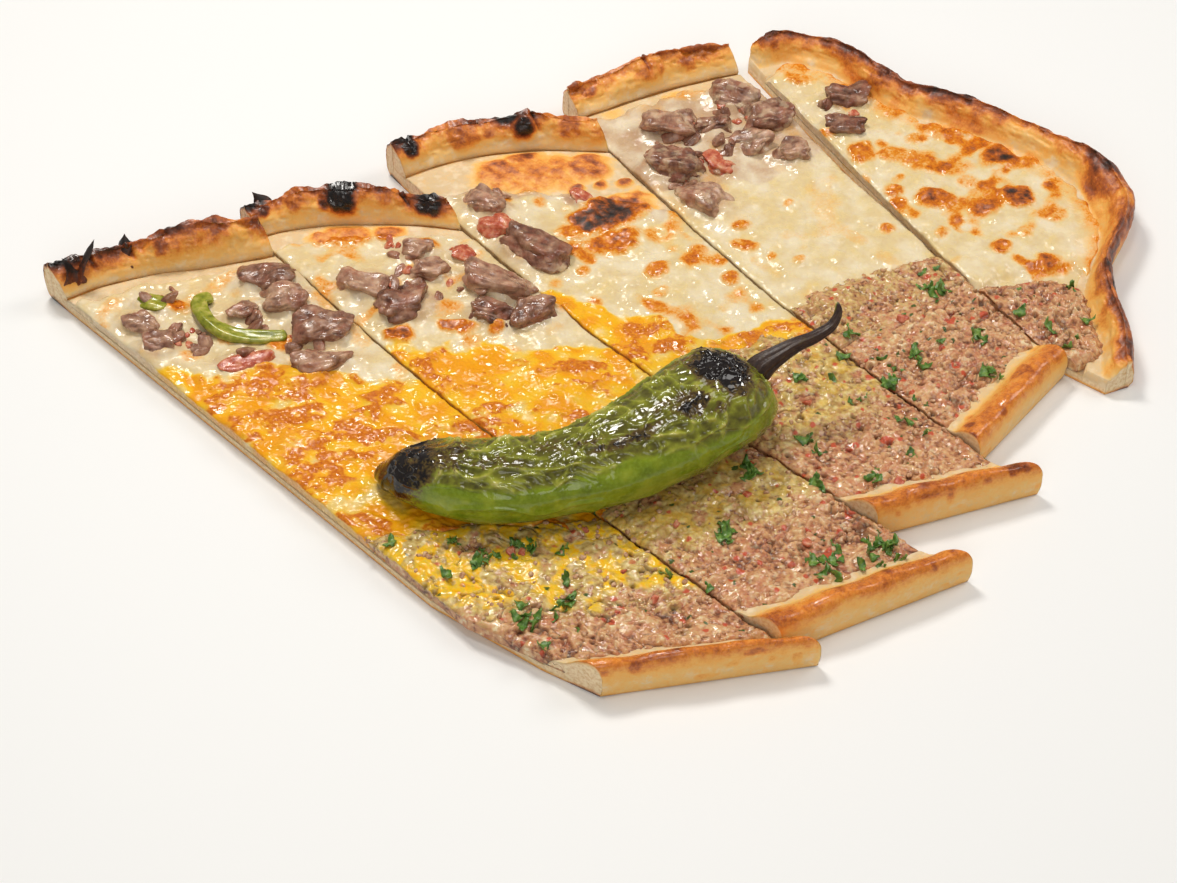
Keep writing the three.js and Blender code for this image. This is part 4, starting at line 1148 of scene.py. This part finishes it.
def bed_level(key, x, y):
    """Level that a topping lies on: cheese, or the puffed dough on its far side."""
    slice_ = SLICES.get(key)
    if slice_ is None:
        return CHEESE_LEVEL
    left, right = (CUTS[name](y) for name in slice_["cuts"])
    v = (x - left) / (right - left)
    u = (lerp(*slice_["far"], v) - y) / length_of(slice_, v)
    return DOUGH_LEVEL if u < lerp(*slice_["cheese_from"], v) - 0.03 else CHEESE_LEVEL


def dice_shape(long, wide, tall, seed, fibres):
    """A roasted dice: a rounded block with a few knife facets, fibres along it and lumps."""
    block, faces = dice_grid(DICE_STEPS)
    ball = block / ((np.abs(block) ** 3.2).sum(1) ** (1 / 3.2))[:, None]
    draw = np.random.default_rng(seed)
    for _ in range(DICE_FACETS):
        way = draw.normal(size=3)
        way /= np.linalg.norm(way)
        over = np.maximum(0, ball @ way - draw.uniform(0.55, 0.9))
        ball = ball - over[:, None] * way * 0.8
    lump = 1 + 0.22 * ripple(ball, 0.8, seed) + 0.1 * ripple(ball, 0.36, seed + 1)
    shape = ball * lump[:, None] * np.array([long, wide, tall]) / 2
    shape[:, 0] += 0.12 * wide * np.sin(shape[:, 2] / tall * 2.2 + seed)
    shape[:, 2] += 0.06 * tall * np.sin(shape[:, 0] / long * 4 + 1.7 * seed)
    drawn = shape * np.array([0.2, 1, 1]) + 0.5 * ripple(shape, 5, seed + 2)[:, None]
    fibre = ripple(drawn, 1.1, seed + 3, 2)
    bent = drawn + 0.6 * ripple(shape, 2, seed + 7)[:, None]
    crease = 1 - rise(np.abs(ripple(bent, 3, seed + 4)), 0.0, 0.24)
    normal = ball / np.linalg.norm(ball, axis=1, keepdims=True)
    push = fibres * (0.24 * fibre - 0.4 * crease + 0.12 * ripple(shape, 1.3, seed + 8))
    return shape + normal * push[:, None], faces, fibre, crease


def meat_finish():
    meat = Finish("roast meat")
    tone = meat.plus(meat.mark("tone"), meat.cloud(3.2, 4.0, 1.5))
    colour = meat.ramp(tone, [(0.0, (78, 46, 34)), (0.26, (118, 76, 58)), (0.5, (148, 106, 84)),
                              (0.72, (176, 134, 108)), (1.0, (206, 168, 138))])
    colour = meat.mix(meat.span(meat.grain(5.0, 2.0), 0.5, 0.62, 0.0, 0.34), colour, shade(170, 98, 74))
    cream = meat.times(meat.span(meat.grain(3.6, 4.0), 0.5, 0.6), meat.mark("sauce"))
    colour = meat.mix(cream, colour, shade(214, 188, 152))
    # Darker down in the creases of the meat: painted shade.
    colour = meat.mix(meat.times(meat.mark("crease"), 0.35), colour, shade(72, 44, 36))
    meat.coat(colour, meat.span(meat.grain(2.4, 3.0), 0.38, 0.62, 0.1, 0.36))
    meat.soft(0.2, 1.2)
    meat.bump(meat.grain(1.3, 3.0), 0.45, 0.4)
    return meat.material


def tomato_finish():
    tomato = Finish("roast tomato")
    colour = tomato.ramp(tomato.grain(2.2, 3.0), [(0.3, (164, 68, 44)), (0.48, (190, 96, 66)),
                                                  (0.6, (208, 132, 98)), (0.74, (218, 170, 132))])
    tomato.coat(colour, tomato.span(tomato.grain(1.5), 0.35, 0.65, 0.15, 0.4))
    tomato.soft(0.35, 1.6)
    tomato.bump(tomato.grain(0.7, 3.0), 0.3, 0.3)
    return tomato.material


def green_finish():
    green = Finish("cooked green pepper")
    green.coat(green.ramp(green.grain(2.6, 2.0), [(0.3, (106, 112, 26)), (0.5, (148, 150, 42)),
                                                  (0.68, (186, 176, 88))]), 0.22)
    green.soft(0.35, 1.8, (0.7, 1.0, 0.2))
    green.bump(green.grain(1.2, 3.0), 0.25, 0.3)
    return green.material


roast_meat = meat_finish()
roast_tomato = tomato_finish()
green_pepper = green_finish()
DICE_KINDS = {  # finish, what the piece's name starts with, depth of the fibres
    "meat": (roast_meat, "roast_meat", 1.0),
    "tomato": (roast_tomato, "roast_tomato", 0.35),
    "pepper": (green_pepper, "pepper_bit", 0.3),
}


def dice(key, number, node, x, y, long, wide, tall, turn):
    kind, title = node.split("_")
    finish, start, fibres = DICE_KINDS[kind]
    seed = 300 + 20 * ord(key) + number
    shape, faces, fibre, crease = dice_shape(*(DICE_BLOCK * (long, wide, tall)), seed, fibres)
    angle = math.radians(turn)
    spin = np.array([[math.cos(angle), math.sin(angle), 0], [-math.sin(angle), math.cos(angle), 0],
                     [0, 0, 1]])
    middle = np.array([x, y, bed_level(key, x, y) - DICE_SUNK + tall / 2])
    roasted = 0.5 * (chance(np.array([[x, y, 0.0]]), 9)[0] - 0.5)
    tone = 0.5 + 0.2 * fibre + 0.12 * ripple(shape, 5, seed + 6) + roasted
    foot = 1 - rise(shape[:, 2] / tall + 0.35 * ripple(shape, 4, seed + 5), -0.45, 0.1)
    cover = 0.4 if key == "d" else 0.1
    # the crease mark darkens the creases in the finish, as painted shade
    marks = {"tone": tone, "crease": crease * fibres, "sauce": lerp(cover, 1, foot)}
    make_piece(f"{start}_{title}", shape @ spin + middle, faces, marks, finish, kind, node)


for slice_name, items in TOPPINGS.items():
    for number, item in enumerate(items):
        dice(slice_name, number, *item)


# The roasted pepper: one long green pepper grilled whole over coals and laid across the slices. Its tip
# and shoulder are charred, the skin of its upper side has lifted from the flesh and crumpled in folds,
# and its underside stays smooth and bright green.
PEPPER_REST = 9.1
PEPPER_SUNK = 1.2
PEPPER_FLATNESS = 0.9
PEPPER_UP = 92  # turn that faces up
CRATERS_FROM = 60  # along from the tip
PEPPER_LINE = [  # x, y and half width from the tip to the shoulder
    (-62.4, 32, 2.6), (-60, 23, 8.4), (-55.8, 13.5, 11.6), (-43, -5, 14), (-28, -16, 14.6),
    (-11, -24.8, 16), (10, -30, 18.2), (28.5, -32.5, 18), (40, -33.5, 12.5), (44.5, -34, 5.5),
]
PEPPER_CHAR = [  # along from the tip, turn round it in degrees, half length, half turn and strength
    (119, 86, 12, 50, 1.5), (80, 113, 15, 12, 0.7), (101, 110, 8, 18, 0.7), (69, 100, 9, 9, 0.5),
    (92, 96, 8, 10, 0.4), (26, 95, 9, 36, 0.55), (40, 108, 13, 14, 0.36), (56, 88, 9, 14, 0.36),
    (108, 128, 6, 8, 0.4),
]
SKIN_GRID = 0.4
SKIN_SIDES = 260  # points round the pepper
TUBE_GRID = 0.4  # the same for the stalk and the strip, which are thinner
STALK_SIDES = 56
STRIP_SIDES = 44


def even_line(points, spacing):
    """A smooth line through points, with evenly spaced places and how far along each lies."""
    fine = eased(points, 40)
    along = np.concatenate([[0], np.cumsum(np.linalg.norm(np.diff(fine[:, :2], axis=0), axis=1))])
    even = np.linspace(0, along[-1], int(along[-1] / spacing) + 1)
    return np.stack([np.interp(even, along, column) for column in fine.T], -1), even


def tapered(half_widths, along, reach):
    """Half widths that close in a round nose over a reach at both ends of a line."""
    ends = np.minimum(1, np.minimum(along, along[-1] - along) / reach)
    return half_widths * np.sqrt(np.clip(1 - (1 - ends) ** 2, 0, 1))


def round_line(line, sides, flatness=1.0):
    """The turns round a line, and for each of its points and each turn the way out of the line."""
    ahead = np.gradient(line, axis=0)
    ahead /= np.linalg.norm(ahead, axis=1, keepdims=True)
    aside = np.cross([0, 0, 1], ahead)
    aside /= np.linalg.norm(aside, axis=1, keepdims=True)
    up = np.cross(ahead, aside)
    turn = np.radians(np.linspace(0, 360, sides, endpoint=False))[None]
    return turn, np.cos(turn)[..., None] * aside[:, None] + flatness * np.sin(turn)[..., None] * up[:, None]


def joined_rows(rows, columns):
    """Numbers of the points of a tube, with the first column once more after the last."""
    grid = np.arange(rows * columns).reshape(rows, columns)
    return np.hstack([grid, grid[:, :1]])


def tube_faces(points):
    return quads(joined_rows(*points.shape[:2]).T).tolist()


def ridged(place, size, seed, sharp, octaves=1):
    """1 on thin winding crests and 0 between them."""
    return 1 - np.minimum(1, np.abs(ripple(place, size, seed, octaves)) / sharp)


def pepper_skin_finish():
    skin = Finish("roasted pepper skin")
    fresh = skin.ramp(skin.grain(6.0, 5.0), [(0.3, (100, 118, 10)), (0.5, (120, 138, 16)),
                                             (0.66, (144, 156, 34)), (0.8, (166, 174, 62))])
    # The loosened skin is lighter on the crests of its folds and darker between them: painted highlight and
    # shade, over its olive tone.
    loose = skin.ramp(skin.plus(skin.mark("fold"), skin.cloud(3.0, 4.0, 1.2)),
                      [(0.0, (80, 72, 26)), (0.25, (110, 108, 32)), (0.5, (136, 138, 44)),
                       (0.75, (168, 164, 68)), (1.0, (204, 192, 116))])
    patch = skin.cloud(8.0, 5.0, 1.8)
    loosened = skin.plus(skin.mark("loose"), skin.times(patch, skin.mark("loose")))
    fleck = skin.span(skin.grain(1.1, 3.0), 0.42, 0.66, 0.0, 0.3)
    fresh = skin.mix(fleck, fresh, shade(148, 172, 62))
    colour = skin.mix(skin.span(loosened, 0.25, 0.75, 0.0, 0.92), fresh, loose)
    burnt = skin.math("MULTIPLY_ADD", skin.plus(skin.grain(2.4, 3.0), skin.grain(0.9, 3.0)), 0.9, -0.9)
    char = skin.uneven("char", burnt, 0.02, 0.25)
    colour = skin.mix(skin.span(char, 0.12, 0.42, 0.0, 0.86), colour, shade(92, 66, 34))
    colour = skin.mix(skin.span(char, 0.38, 0.72), colour, shade(22, 15, 13))
    skin.coat(colour, skin.span(skin.grain(5.0, 3.0), 0.38, 0.62, 0.03, 0.12))
    skin.soft(0.1, 1.2, (0.5, 1.0, 0.2))
    skin.bump(skin.grain(2.2, 2.0), 0.22, 0.5)
    return skin.material


def roasted_pepper():
    line, along = even_line(PEPPER_LINE, SKIN_GRID)
    wide = tapered(line[:, 2], along, 2.4)[:, None]
    middle = points_at(line[:, 0], line[:, 1], PEPPER_REST - 0.9 + PEPPER_FLATNESS * line[:, 2])
    turn, way = round_line(middle * IN_PLAN, SKIN_SIDES, PEPPER_FLATNESS)
    turn_deg = np.degrees(turn)
    from_shoulder = (along[-1] - along)[:, None]
    along = along[:, None]
    round_ = 1 + 0.035 * np.cos(3 * turn + 0.032 * along) + 0.05 * np.cos(2 * turn - 0.5 + 0.02 * along)
    points = middle[:, None] + way * (wide * round_)[..., None]
    body = points_at(along, np.cos(turn) * wide, np.sin(turn) * wide)

    # The loose skin of the upper side crumples, and the skin that still holds is nearly smooth.
    loose = np.cos(np.radians(turn_deg - PEPPER_UP)) + 0.24 * ripple(body, 15, 201, 2)
    loose = rise(loose, 0.36, 0.74) * rise(along, 6, 16)
    warp = points_at(ripple(body, 9, 202), ripple(body, 9, 203), ripple(body, 9, 204))
    drawn = (body + 2.6 * warp) * np.array([0.4, 1, 1])
    fold = ridged(drawn, 5.6, 205, 0.3) ** 1.8
    pleat = ridged(drawn * np.array([1.2, 1, 1]) + 0.6 * warp, 2.8, 206, 0.42) ** 1.6
    branch = ridged(body + 2.2 * warp, 6, 207, 0.18) ** 1.6
    crumple = 1.15 * fold + 0.55 * pleat + 0.75 * branch - 0.6 + 0.12 * ripple(body, 1.5, 208)
    smooth = 0.35 * ripple(drawn, 8, 209) + 0.5 * ridged(drawn, 9, 218, 0.3) ** 2 - 0.1
    ribs = ripple(body * np.array([1, 0.22, 0.22]), 2.6, 210) * (1 - rise(along, 8, 20))
    push = lerp(smooth, crumple, loose) + 0.55 * ribs + 0.5 * ripple(body, 22, 211)

    # The burnt places, which break up into craters near the shoulder.
    char = 1.1 * (1 - rise(along + 4 * ripple(body, 6, 212) - 6 * np.cos(np.radians(turn_deg - 110)), 8, 22))
    for at, at_turn, half, half_turn, strength in PEPPER_CHAR:
        swing = (turn_deg - at_turn + 180) % 360 - 180
        reach = np.hypot((along - at) / half, swing / half_turn) + 0.3 * ripple(body, 5, 213, 2)
        char = np.maximum(char, strength * (1 - rise(reach, 0.25, 1.2)))
    crater = 1.2 * ridged(body + warp, 4.2, 214, 0.4) ** 1.5 + 0.16 * ripple(body, 1.6, 217) - 0.9
    push = push + crater * rise(char, 0.5, 1.0) * (along > CRATERS_FROM)
    char = char * (0.75 + 0.35 * fold + 0.2 * ripple(body, 2.2, 215, 2))
    points = points + way * (push * rise(np.minimum(along, from_shoulder), 0.2, 4))[..., None]
    points[..., 2] = np.maximum(points[..., 2], PEPPER_REST - PEPPER_SUNK)
    # the fold mark makes the crests of the folds lighter and the hollows darker in the finish, as painted
    # light and shade
    marks = {"loose": loose, "char": char, "fold": 0.5 * fold + 0.3 * pleat + 0.35 * branch + 0.1}
    make_piece("roasted_pepper_body", points, tube_faces(points), marks, pepper_skin_finish(), "pepper",
               "roasted_pepper")


roasted_pepper()


# The pepper's stem: the woody stalk that it grew on, still fixed to its shoulder by a flared cap. It dried
# and blackened over the coals, and its end, where it was picked, stays green and hooks up.
STEM_LINE = [  # x, y, z and radius
    (37, -33.4, 25, 4.6), (41.5, -34.6, 29, 4.4), (46.5, -37, 32.6, 3.2), (53, -39.5, 35, 2.4),
    (59, -42, 36.2, 2.0), (65, -43.5, 38, 1.6), (68.4, -43, 41, 1.2), (69.4, -41.6, 44.1, 0.8),
]
STEM_TOP = 44.5


def stem_finish():
    stem = Finish("pepper stem")
    tone = stem.plus(stem.mark("green"), stem.cloud(1.6, 3.0, 0.8))
    stem.coat(stem.ramp(tone, [(0.0, (34, 22, 22)), (0.3, (62, 42, 32)), (0.52, (84, 80, 36)),
                               (0.75, (108, 122, 48)), (1.0, (158, 170, 90))]), 0.34, 0.36)
    stem.bump(stem.grain(0.8, 3.0), 0.4, 0.3)
    return stem.material


def pepper_stalk():
    line, along = even_line(STEM_LINE, TUBE_GRID)
    radius = tapered(line[:, 3], along, 1.2)[:, None]
    turn, way = round_line(line[:, :3], STALK_SIDES)
    along = along[:, None]
    body = points_at(0.3 * along, 3 * np.cos(turn), 3 * np.sin(turn))
    rib = 1 + 0.09 * np.cos(5 * turn + 0.05 * along) + 0.06 * np.cos(11 * turn)
    rib = rib + 0.07 * ripple(body, 1.4, 221, 2)
    points = line[:, None, :3] + way * (radius * rib)[..., None]
    points[..., 2] = np.minimum(points[..., 2], STEM_TOP)
    underneath = rise(-np.sin(turn - 0.6), -0.3, 0.7)
    green = 0.22 + 0.6 * underneath * rise(along, 12, 20) + 0.8 * rise(along, 37, 42)
    make_piece("pepper_stalk", points, tube_faces(points), {"green": green}, stem_finish(), "stem",
               "pepper_stem")


pepper_stalk()


# The curl: one strip of fresh green pepper, cut thin across the pod, gone limp and glassy in the oven.
# It lies on the cheese of the first slice, with a groove along its top.
CURL_LINE = [  # x, y and half width
    (-48.5, 129, 2.2), (-53.5, 130, 2.6), (-57.5, 121, 2.8), (-56, 112, 2.8), (-50, 104, 2.8),
    (-42.5, 98, 2),
]
STRIP_BED = 7.5
STRIP_FLATNESS = 0.8


def pepper_strip():
    line, along = even_line(CURL_LINE, TUBE_GRID)
    wide = tapered(line[:, 2], along, 1.6)[:, None]
    middle = points_at(line[:, 0], line[:, 1], STRIP_BED + 0.72 * line[:, 2] + 0.7 * np.sin(along / 7))
    turn, way = round_line(middle * IN_PLAN, STRIP_SIDES, STRIP_FLATNESS)
    lean = np.radians(25 * np.sin(along / 9))[:, None]
    body = points_at(0.5 * along[:, None], 3 * np.cos(turn), 3 * np.sin(turn))
    size = wide * (1 + 0.1 * ripple(body, 2.5, 225) - 0.34 * hump(np.cos(turn - 1.5 + lean), 1, 0.2))
    points = middle[:, None] + way * size[..., None]
    make_piece("pepper_strip", points, tube_faces(points), {}, green_pepper, "pepper", "pepper_curl")


pepper_strip()


# The burnt shards: thin horns of crust pulled up by the peel at the far corners. They caught the fire and
# curled over, black at their tips.
SHARDS = [  # x, y, level of the tip, lean in x and y, width
    (-77, 167, 20, -1.5, 3, 7), (-74, 168, 27, 5, -5, 7.5), (-60, 163, 19.5, 4, 2, 8),
    (-9, 146, 19, -3, 5, 7), (46, 132, 18, -3, 5, 7),
]
SHARD_ROOT = 9.5
SHARD_ROWS = 26
SHARD_SIDES = 24
SHARD_BAKE = (0.72, 1.0)  # browning at the root and at the tip


def shard_shape(number, x, y, tip, lean_x, lean_y, wide):
    t = shares(SHARD_ROWS)
    turn = np.linspace(0, 2 * np.pi, SHARD_SIDES, endpoint=False)[None]
    twist = np.radians(150 + 50 * number + 70 * t)
    half = wide / 2 * (1 - t**1.6) * (1 + 0.2 * np.sin(9 * t + number)) * rise(t, -0.1, 0.02)
    flat = np.cos(turn) * half
    deep = np.sin(turn) * (0.3 * half + 0.12 * (1 - t)) + 0.5 * half * np.cos(turn) ** 2
    points = points_at(x + lean_x * t**1.4 + flat * np.cos(twist) - deep * np.sin(twist),
                       y + lean_y * t**1.4 + flat * np.sin(twist) + deep * np.cos(twist),
                       lerp(SHARD_ROOT, tip - 0.4, t) + 0.5 * flat * t)
    return points + 0.35 * (1 - t)[..., None] * points_at(ripple(points, 2, 231), ripple(points, 2, 232))


shards = np.stack([shard_shape(number, *shard) for number, shard in enumerate(SHARDS)])
ring = np.arange(SHARD_SIDES)
one_shard = [*tube_faces(shards[0]), ring[::-1], ring + (SHARD_ROWS - 1) * SHARD_SIDES]
shard_faces = [np.array(face) + number * SHARD_ROWS * SHARD_SIDES for number in range(len(SHARDS))
               for face in one_shard]
shard_bake = np.broadcast_to(lerp(*SHARD_BAKE, shares(SHARD_ROWS)), shards.shape[:3])
make_piece("charred_shards", shards, shard_faces, {"bake": shard_bake}, baked_dough, "bread")


# The scattered bits: parsley chopped into the mince and strewn on it, little cubes of tomato, crumbs of
# mince that stand loose on top and shreds of meat between the dice. Each kind lies where it was strewn.
PARSLEY_TUFTS = [  # x, y and reach of each tuft
    (-62, -16, 5), (-52, -22.5, 5), (-41, -30, 5), (-57, -46, 4.5), (-70, -42, 5), (-48, -82.5, 3),
    (-81, 6, 3), (-63, -5, 3), (23, -51, 5), (9, -93, 5), (25, -101, 6), (-4, -62, 4), (27, -107, 4),
    (62, -33, 4), (68, -52, 5), (42, -55, 5), (47, -75, 5), (75, -70, 4), (90, -49.5, 4), (83, -55, 4),
    (124, -40, 5), (121, -63, 4), (111, -76, 5), (97, -56, 4), (132, -34, 3), (66, -14, 3), (34, -33, 4),
    (98, -4, 3), (152, -52, 3), (158, -70, 3),
]
RED_STREWN = [  # x, y and reach of the places with tomato and thin shreds of meat among the dice
    (-50, 108, 9), (-66, 120, 9), (-42, 88, 8), (0, 88, 10), (14, 72, 9), (8, 104, 7), (45, 86, 9),
    (56, 102, 7), (122, 66, 16), (142, 70, 10), (104, 58, 8), (172, 44, 7), (-60, 140, 6), (90, 90, 8),
]
STREWN_LEAST = 0.12  # a tuft ends where it would be thinner than this share


def strewn_on(top, tufts, spill):
    """Share of the full strewing at each point of a layer."""
    thick = np.zeros(top.shape[:2])
    for x, y, reach in tufts:
        thick = np.maximum(thick, hump(np.hypot(top[..., 0] - x, top[..., 1] - y), 0, reach * 0.75))
    return np.where(thick > STREWN_LEAST, thick, 0) + spill


def bed_object(name, layers):
    """The tops of the layers that bits lie on, with how thickly each place is strewn."""
    points, faces, thick, count = [], [], [], 0
    for top, tufts, spill in layers:
        grid = np.arange(top[..., 0].size).reshape(top.shape[:2])
        faces.append(quads(grid + count))
        points.append(top.reshape(-1, 3))
        thick.append(strewn_on(top, tufts, spill).ravel())
        count += grid.size
    mesh = bpy.data.meshes.new(name)
    mesh.from_pydata(((np.vstack(points) - PLAN_CENTRE) * MM).tolist(), [], np.vstack(faces).tolist())
    set_mark(mesh, "strewn", np.concatenate(thick))
    bed = bpy.data.objects.new(name, mesh)
    scene.collection.objects.link(bed)
    return bed


def strewing_tree():
    """Geometry nodes that strew picked shapes on a bed, each turned and sized by chance."""
    tree = bpy.data.node_groups.new("strewing", "GeometryNodeTree")
    for title, kind in (("Bed", "Geometry"), ("Thickness", "Float"), ("Seed", "Int"), ("Smallest", "Float"),
                        ("Largest", "Float"), ("Lean", "Float"), ("Shapes", "Collection"),
                        ("Finish", "Material")):
        tree.interface.new_socket(title, in_out="INPUT", socket_type=f"NodeSocket{kind}")
    tree.interface.new_socket("Strewn bits", in_out="OUTPUT", socket_type="NodeSocketGeometry")
    given = add_node(tree, "NodeGroupInput", {}).outputs
    strewn = add_node(tree, "GeometryNodeInputNamedAttribute", {"Name": "strewn"}, data_type="FLOAT")
    thick = add_node(tree, "ShaderNodeMath", {0: strewn.outputs["Attribute"], 1: given["Thickness"]},
                     operation="MULTIPLY")
    points = add_node(tree, "GeometryNodeDistributePointsOnFaces",
                      {"Mesh": given["Bed"], "Density": thick.outputs["Value"], "Seed": given["Seed"]})
    shapes = add_node(tree, "GeometryNodeCollectionInfo",
                      {"Collection": given["Shapes"], "Separate Children": True, "Reset Children": True})

    # Inputs 2 and 3 and output 1 are those for one number.
    size = add_node(tree, "FunctionNodeRandomValue",
                    {2: given["Smallest"], 3: given["Largest"], "Seed": given["Seed"]}, data_type="FLOAT")
    laid = add_node(tree, "GeometryNodeInstanceOnPoints",
                    {"Points": points.outputs["Points"], "Instance": shapes.outputs["Instances"],
                     "Pick Instance": True, "Rotation": points.outputs["Rotation"],
                     "Scale": size.outputs[1]})
    spin = add_node(tree, "FunctionNodeRandomValue",
                    {"Min": (-1, -1, -math.pi), "Max": (1, 1, math.pi)}, data_type="FLOAT_VECTOR")
    flatten = add_node(tree, "ShaderNodeCombineXYZ", {"X": given["Lean"], "Y": given["Lean"], "Z": 1})
    lean = add_node(tree, "ShaderNodeVectorMath",
                    {0: spin.outputs["Value"], 1: flatten.outputs["Vector"]}, operation="MULTIPLY")
    turned = add_node(tree, "GeometryNodeRotateInstances",
                      {"Instances": laid.outputs["Instances"], "Rotation": lean.outputs["Vector"]})
    whole = add_node(tree, "GeometryNodeRealizeInstances", {"Geometry": turned.outputs["Instances"]})
    coated = add_node(tree, "GeometryNodeSetMaterial",
                      {"Geometry": whole.outputs["Geometry"], "Material": given["Finish"]})
    add_node(tree, "NodeGroupOutput", {"Strewn bits": coated.outputs["Geometry"]})
    return tree


STREWING = strewing_tree()


def strew(name, layers, shapes, slot, **inputs):
    """Strews shapes on layers and keeps the result as one piece."""
    bed = bed_object(f"{name} bed", layers)
    drawer = bpy.data.collections.new(f"{name} shapes")
    for number, (points, faces) in enumerate(shapes):
        mesh = bpy.data.meshes.new(f"{name} shape {number}")
        mesh.from_pydata((points * MM).tolist(), [], faces)
        mesh.polygons.foreach_set("use_smooth", [True] * len(mesh.polygons))
        drawer.objects.link(bpy.data.objects.new(mesh.name, mesh))
    strewing = bed.modifiers.new("strewing", "NODES")
    strewing.node_group = STREWING
    for socket in STREWING.interface.items_tree:
        if socket.in_out == "INPUT" and socket.name != "Bed":
            strewing[socket.identifier] = {**inputs, "Shapes": drawer}[socket.name]
    scene.view_layers[0].update()
    ready = bpy.context.evaluated_depsgraph_get()
    mesh = bpy.data.meshes.new_from_object(bed.evaluated_get(ready), depsgraph=ready)
    piece = bpy.data.objects.new(name, mesh)
    scene.collection.objects.link(piece)
    bed.modifiers.clear()
    for used in (bed, *drawer.objects):
        bpy.data.objects.remove(used)
    spread = np.zeros(3 * len(mesh.vertices), np.float32)
    mesh.vertices.foreach_get("co", spread)
    set_mark(mesh, "tone", 0.5 + 0.25 * ripple(spread.reshape(-1, 3) / MM, 3, 90, 2))
    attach(piece, "root")


def parsley_flake(seed):
    """A chopped bit of parsley leaf: a thin, lobed, curled blade about 2 mm across."""
    rings, spokes = 4, 20
    draw = np.random.default_rng(seed)
    turn = np.linspace(0, 2 * np.pi, spokes, endpoint=False)[None]
    share = lerp(0.04, 1, shares(rings))
    lobes = 1 + 0.34 * np.cos(3 * turn + draw.uniform(0, 6)) + 0.2 * np.cos(7 * turn + draw.uniform(0, 6))
    reach = 1.05 * share * (0.35 + 0.65 * lobes)
    x, y = reach * np.cos(turn), draw.uniform(0.55, 0.9) * reach * np.sin(turn)
    z = 0.55 * x**2 * draw.uniform(0.4, 1.1) - 0.35 * y**2 + 0.24 * np.sin(4 * x + 3 * y + seed) * share
    over = points_at(x, y, z + 0.32).reshape(-1, 3)
    grid = joined_rows(rings, spokes)
    blade, under = quads(grid), len(over)
    edge = quads(np.stack([grid[-1], grid[-1] + under]))
    faces = [*blade.tolist(), *(blade[:, ::-1] + under).tolist(), *edge.tolist()]
    faces += [grid[0, :-1].tolist(), (grid[0, -2::-1] + under).tolist()]
    return np.vstack([over, over - [0, 0, 0.14]]), faces


def crumb_shape(seed, steps, long, tall):
    """A rough little lump about 1 mm in half size."""
    block, faces = dice_grid(steps)
    ball = block / ((np.abs(block) ** 3).sum(1) ** (1 / 3))[:, None]
    points = ball * (1 + 0.3 * ripple(ball, 0.9, seed))[:, None] * np.array([long, 1, tall])
    return welded(points, faces)[:2]


def parsley_finish():
    leaf = Finish("chopped parsley")
    leaf.coat(leaf.ramp(leaf.grain(1.8, 3.0), [(0.3, (56, 90, 30)), (0.5, (84, 122, 42)),
                                               (0.7, (128, 156, 70))]), 0.34)
    leaf.soft(0.2, 0.6, (0.4, 1.0, 0.2))
    leaf.bump(leaf.grain(0.4, 2.0), 0.3, 0.15)
    return leaf.material


def crumb_finish():
    crumb = Finish("mince crumbs")
    crumb.coat(crumb.ramp(crumb.grain(1.3, 3.0), [(0.28, (150, 104, 74)), (0.45, (186, 138, 102)),
                                                  (0.58, (206, 164, 124)), (0.75, (228, 202, 164))]), 0.42)
    crumb.soft(0.2, 0.9)
    crumb.bump(crumb.grain(0.5, 2.0), 0.4, 0.2)
    return crumb.material


FLAKES = [parsley_flake(seed) for seed in (401, 402, 403, 404)]
CRUMBS = [crumb_shape(seed, 3, 1.25, 0.8) for seed in (411, 412, 413)]
PIPS = [crumb_shape(seed, 4, 1.35, 0.5) for seed in (415, 416, 417)]
SHREDS = [crumb_shape(seed, 6, 1.9, 0.7) for seed in (421, 422, 423, 424)]
minces, cheeses = MINCE_TOPS.values(), CHEESE_TOPS.values()
strew("chopped_parsley", [(top, PARSLEY_TUFTS, 0.016) for top in minces], FLAKES, "mince",
      Thickness=1.3e5, Seed=5, Smallest=0.7, Largest=2.7, Lean=0.4, Finish=parsley_finish())
strew("mince_crumbs", [(top, [], 1.0) for top in minces], CRUMBS, "mince",
      Thickness=3.0e4, Seed=6, Smallest=0.3, Largest=0.85, Lean=1.0, Finish=crumb_finish())
strew("tomato_bits", [(top, RED_STREWN, 0.0) for top in cheeses] + [(top, [], 0.05) for top in minces], PIPS,
      "tomato", Thickness=2.2e4, Seed=7, Smallest=0.5, Largest=1.6, Lean=0.4, Finish=roast_tomato)
strew("meat_shreds", [(top, RED_STREWN, 0.0) for top in cheeses], SHREDS, "meat",
      Thickness=3.6e4, Seed=8, Smallest=0.8, Largest=2.3, Lean=0.6, Finish=roast_meat)
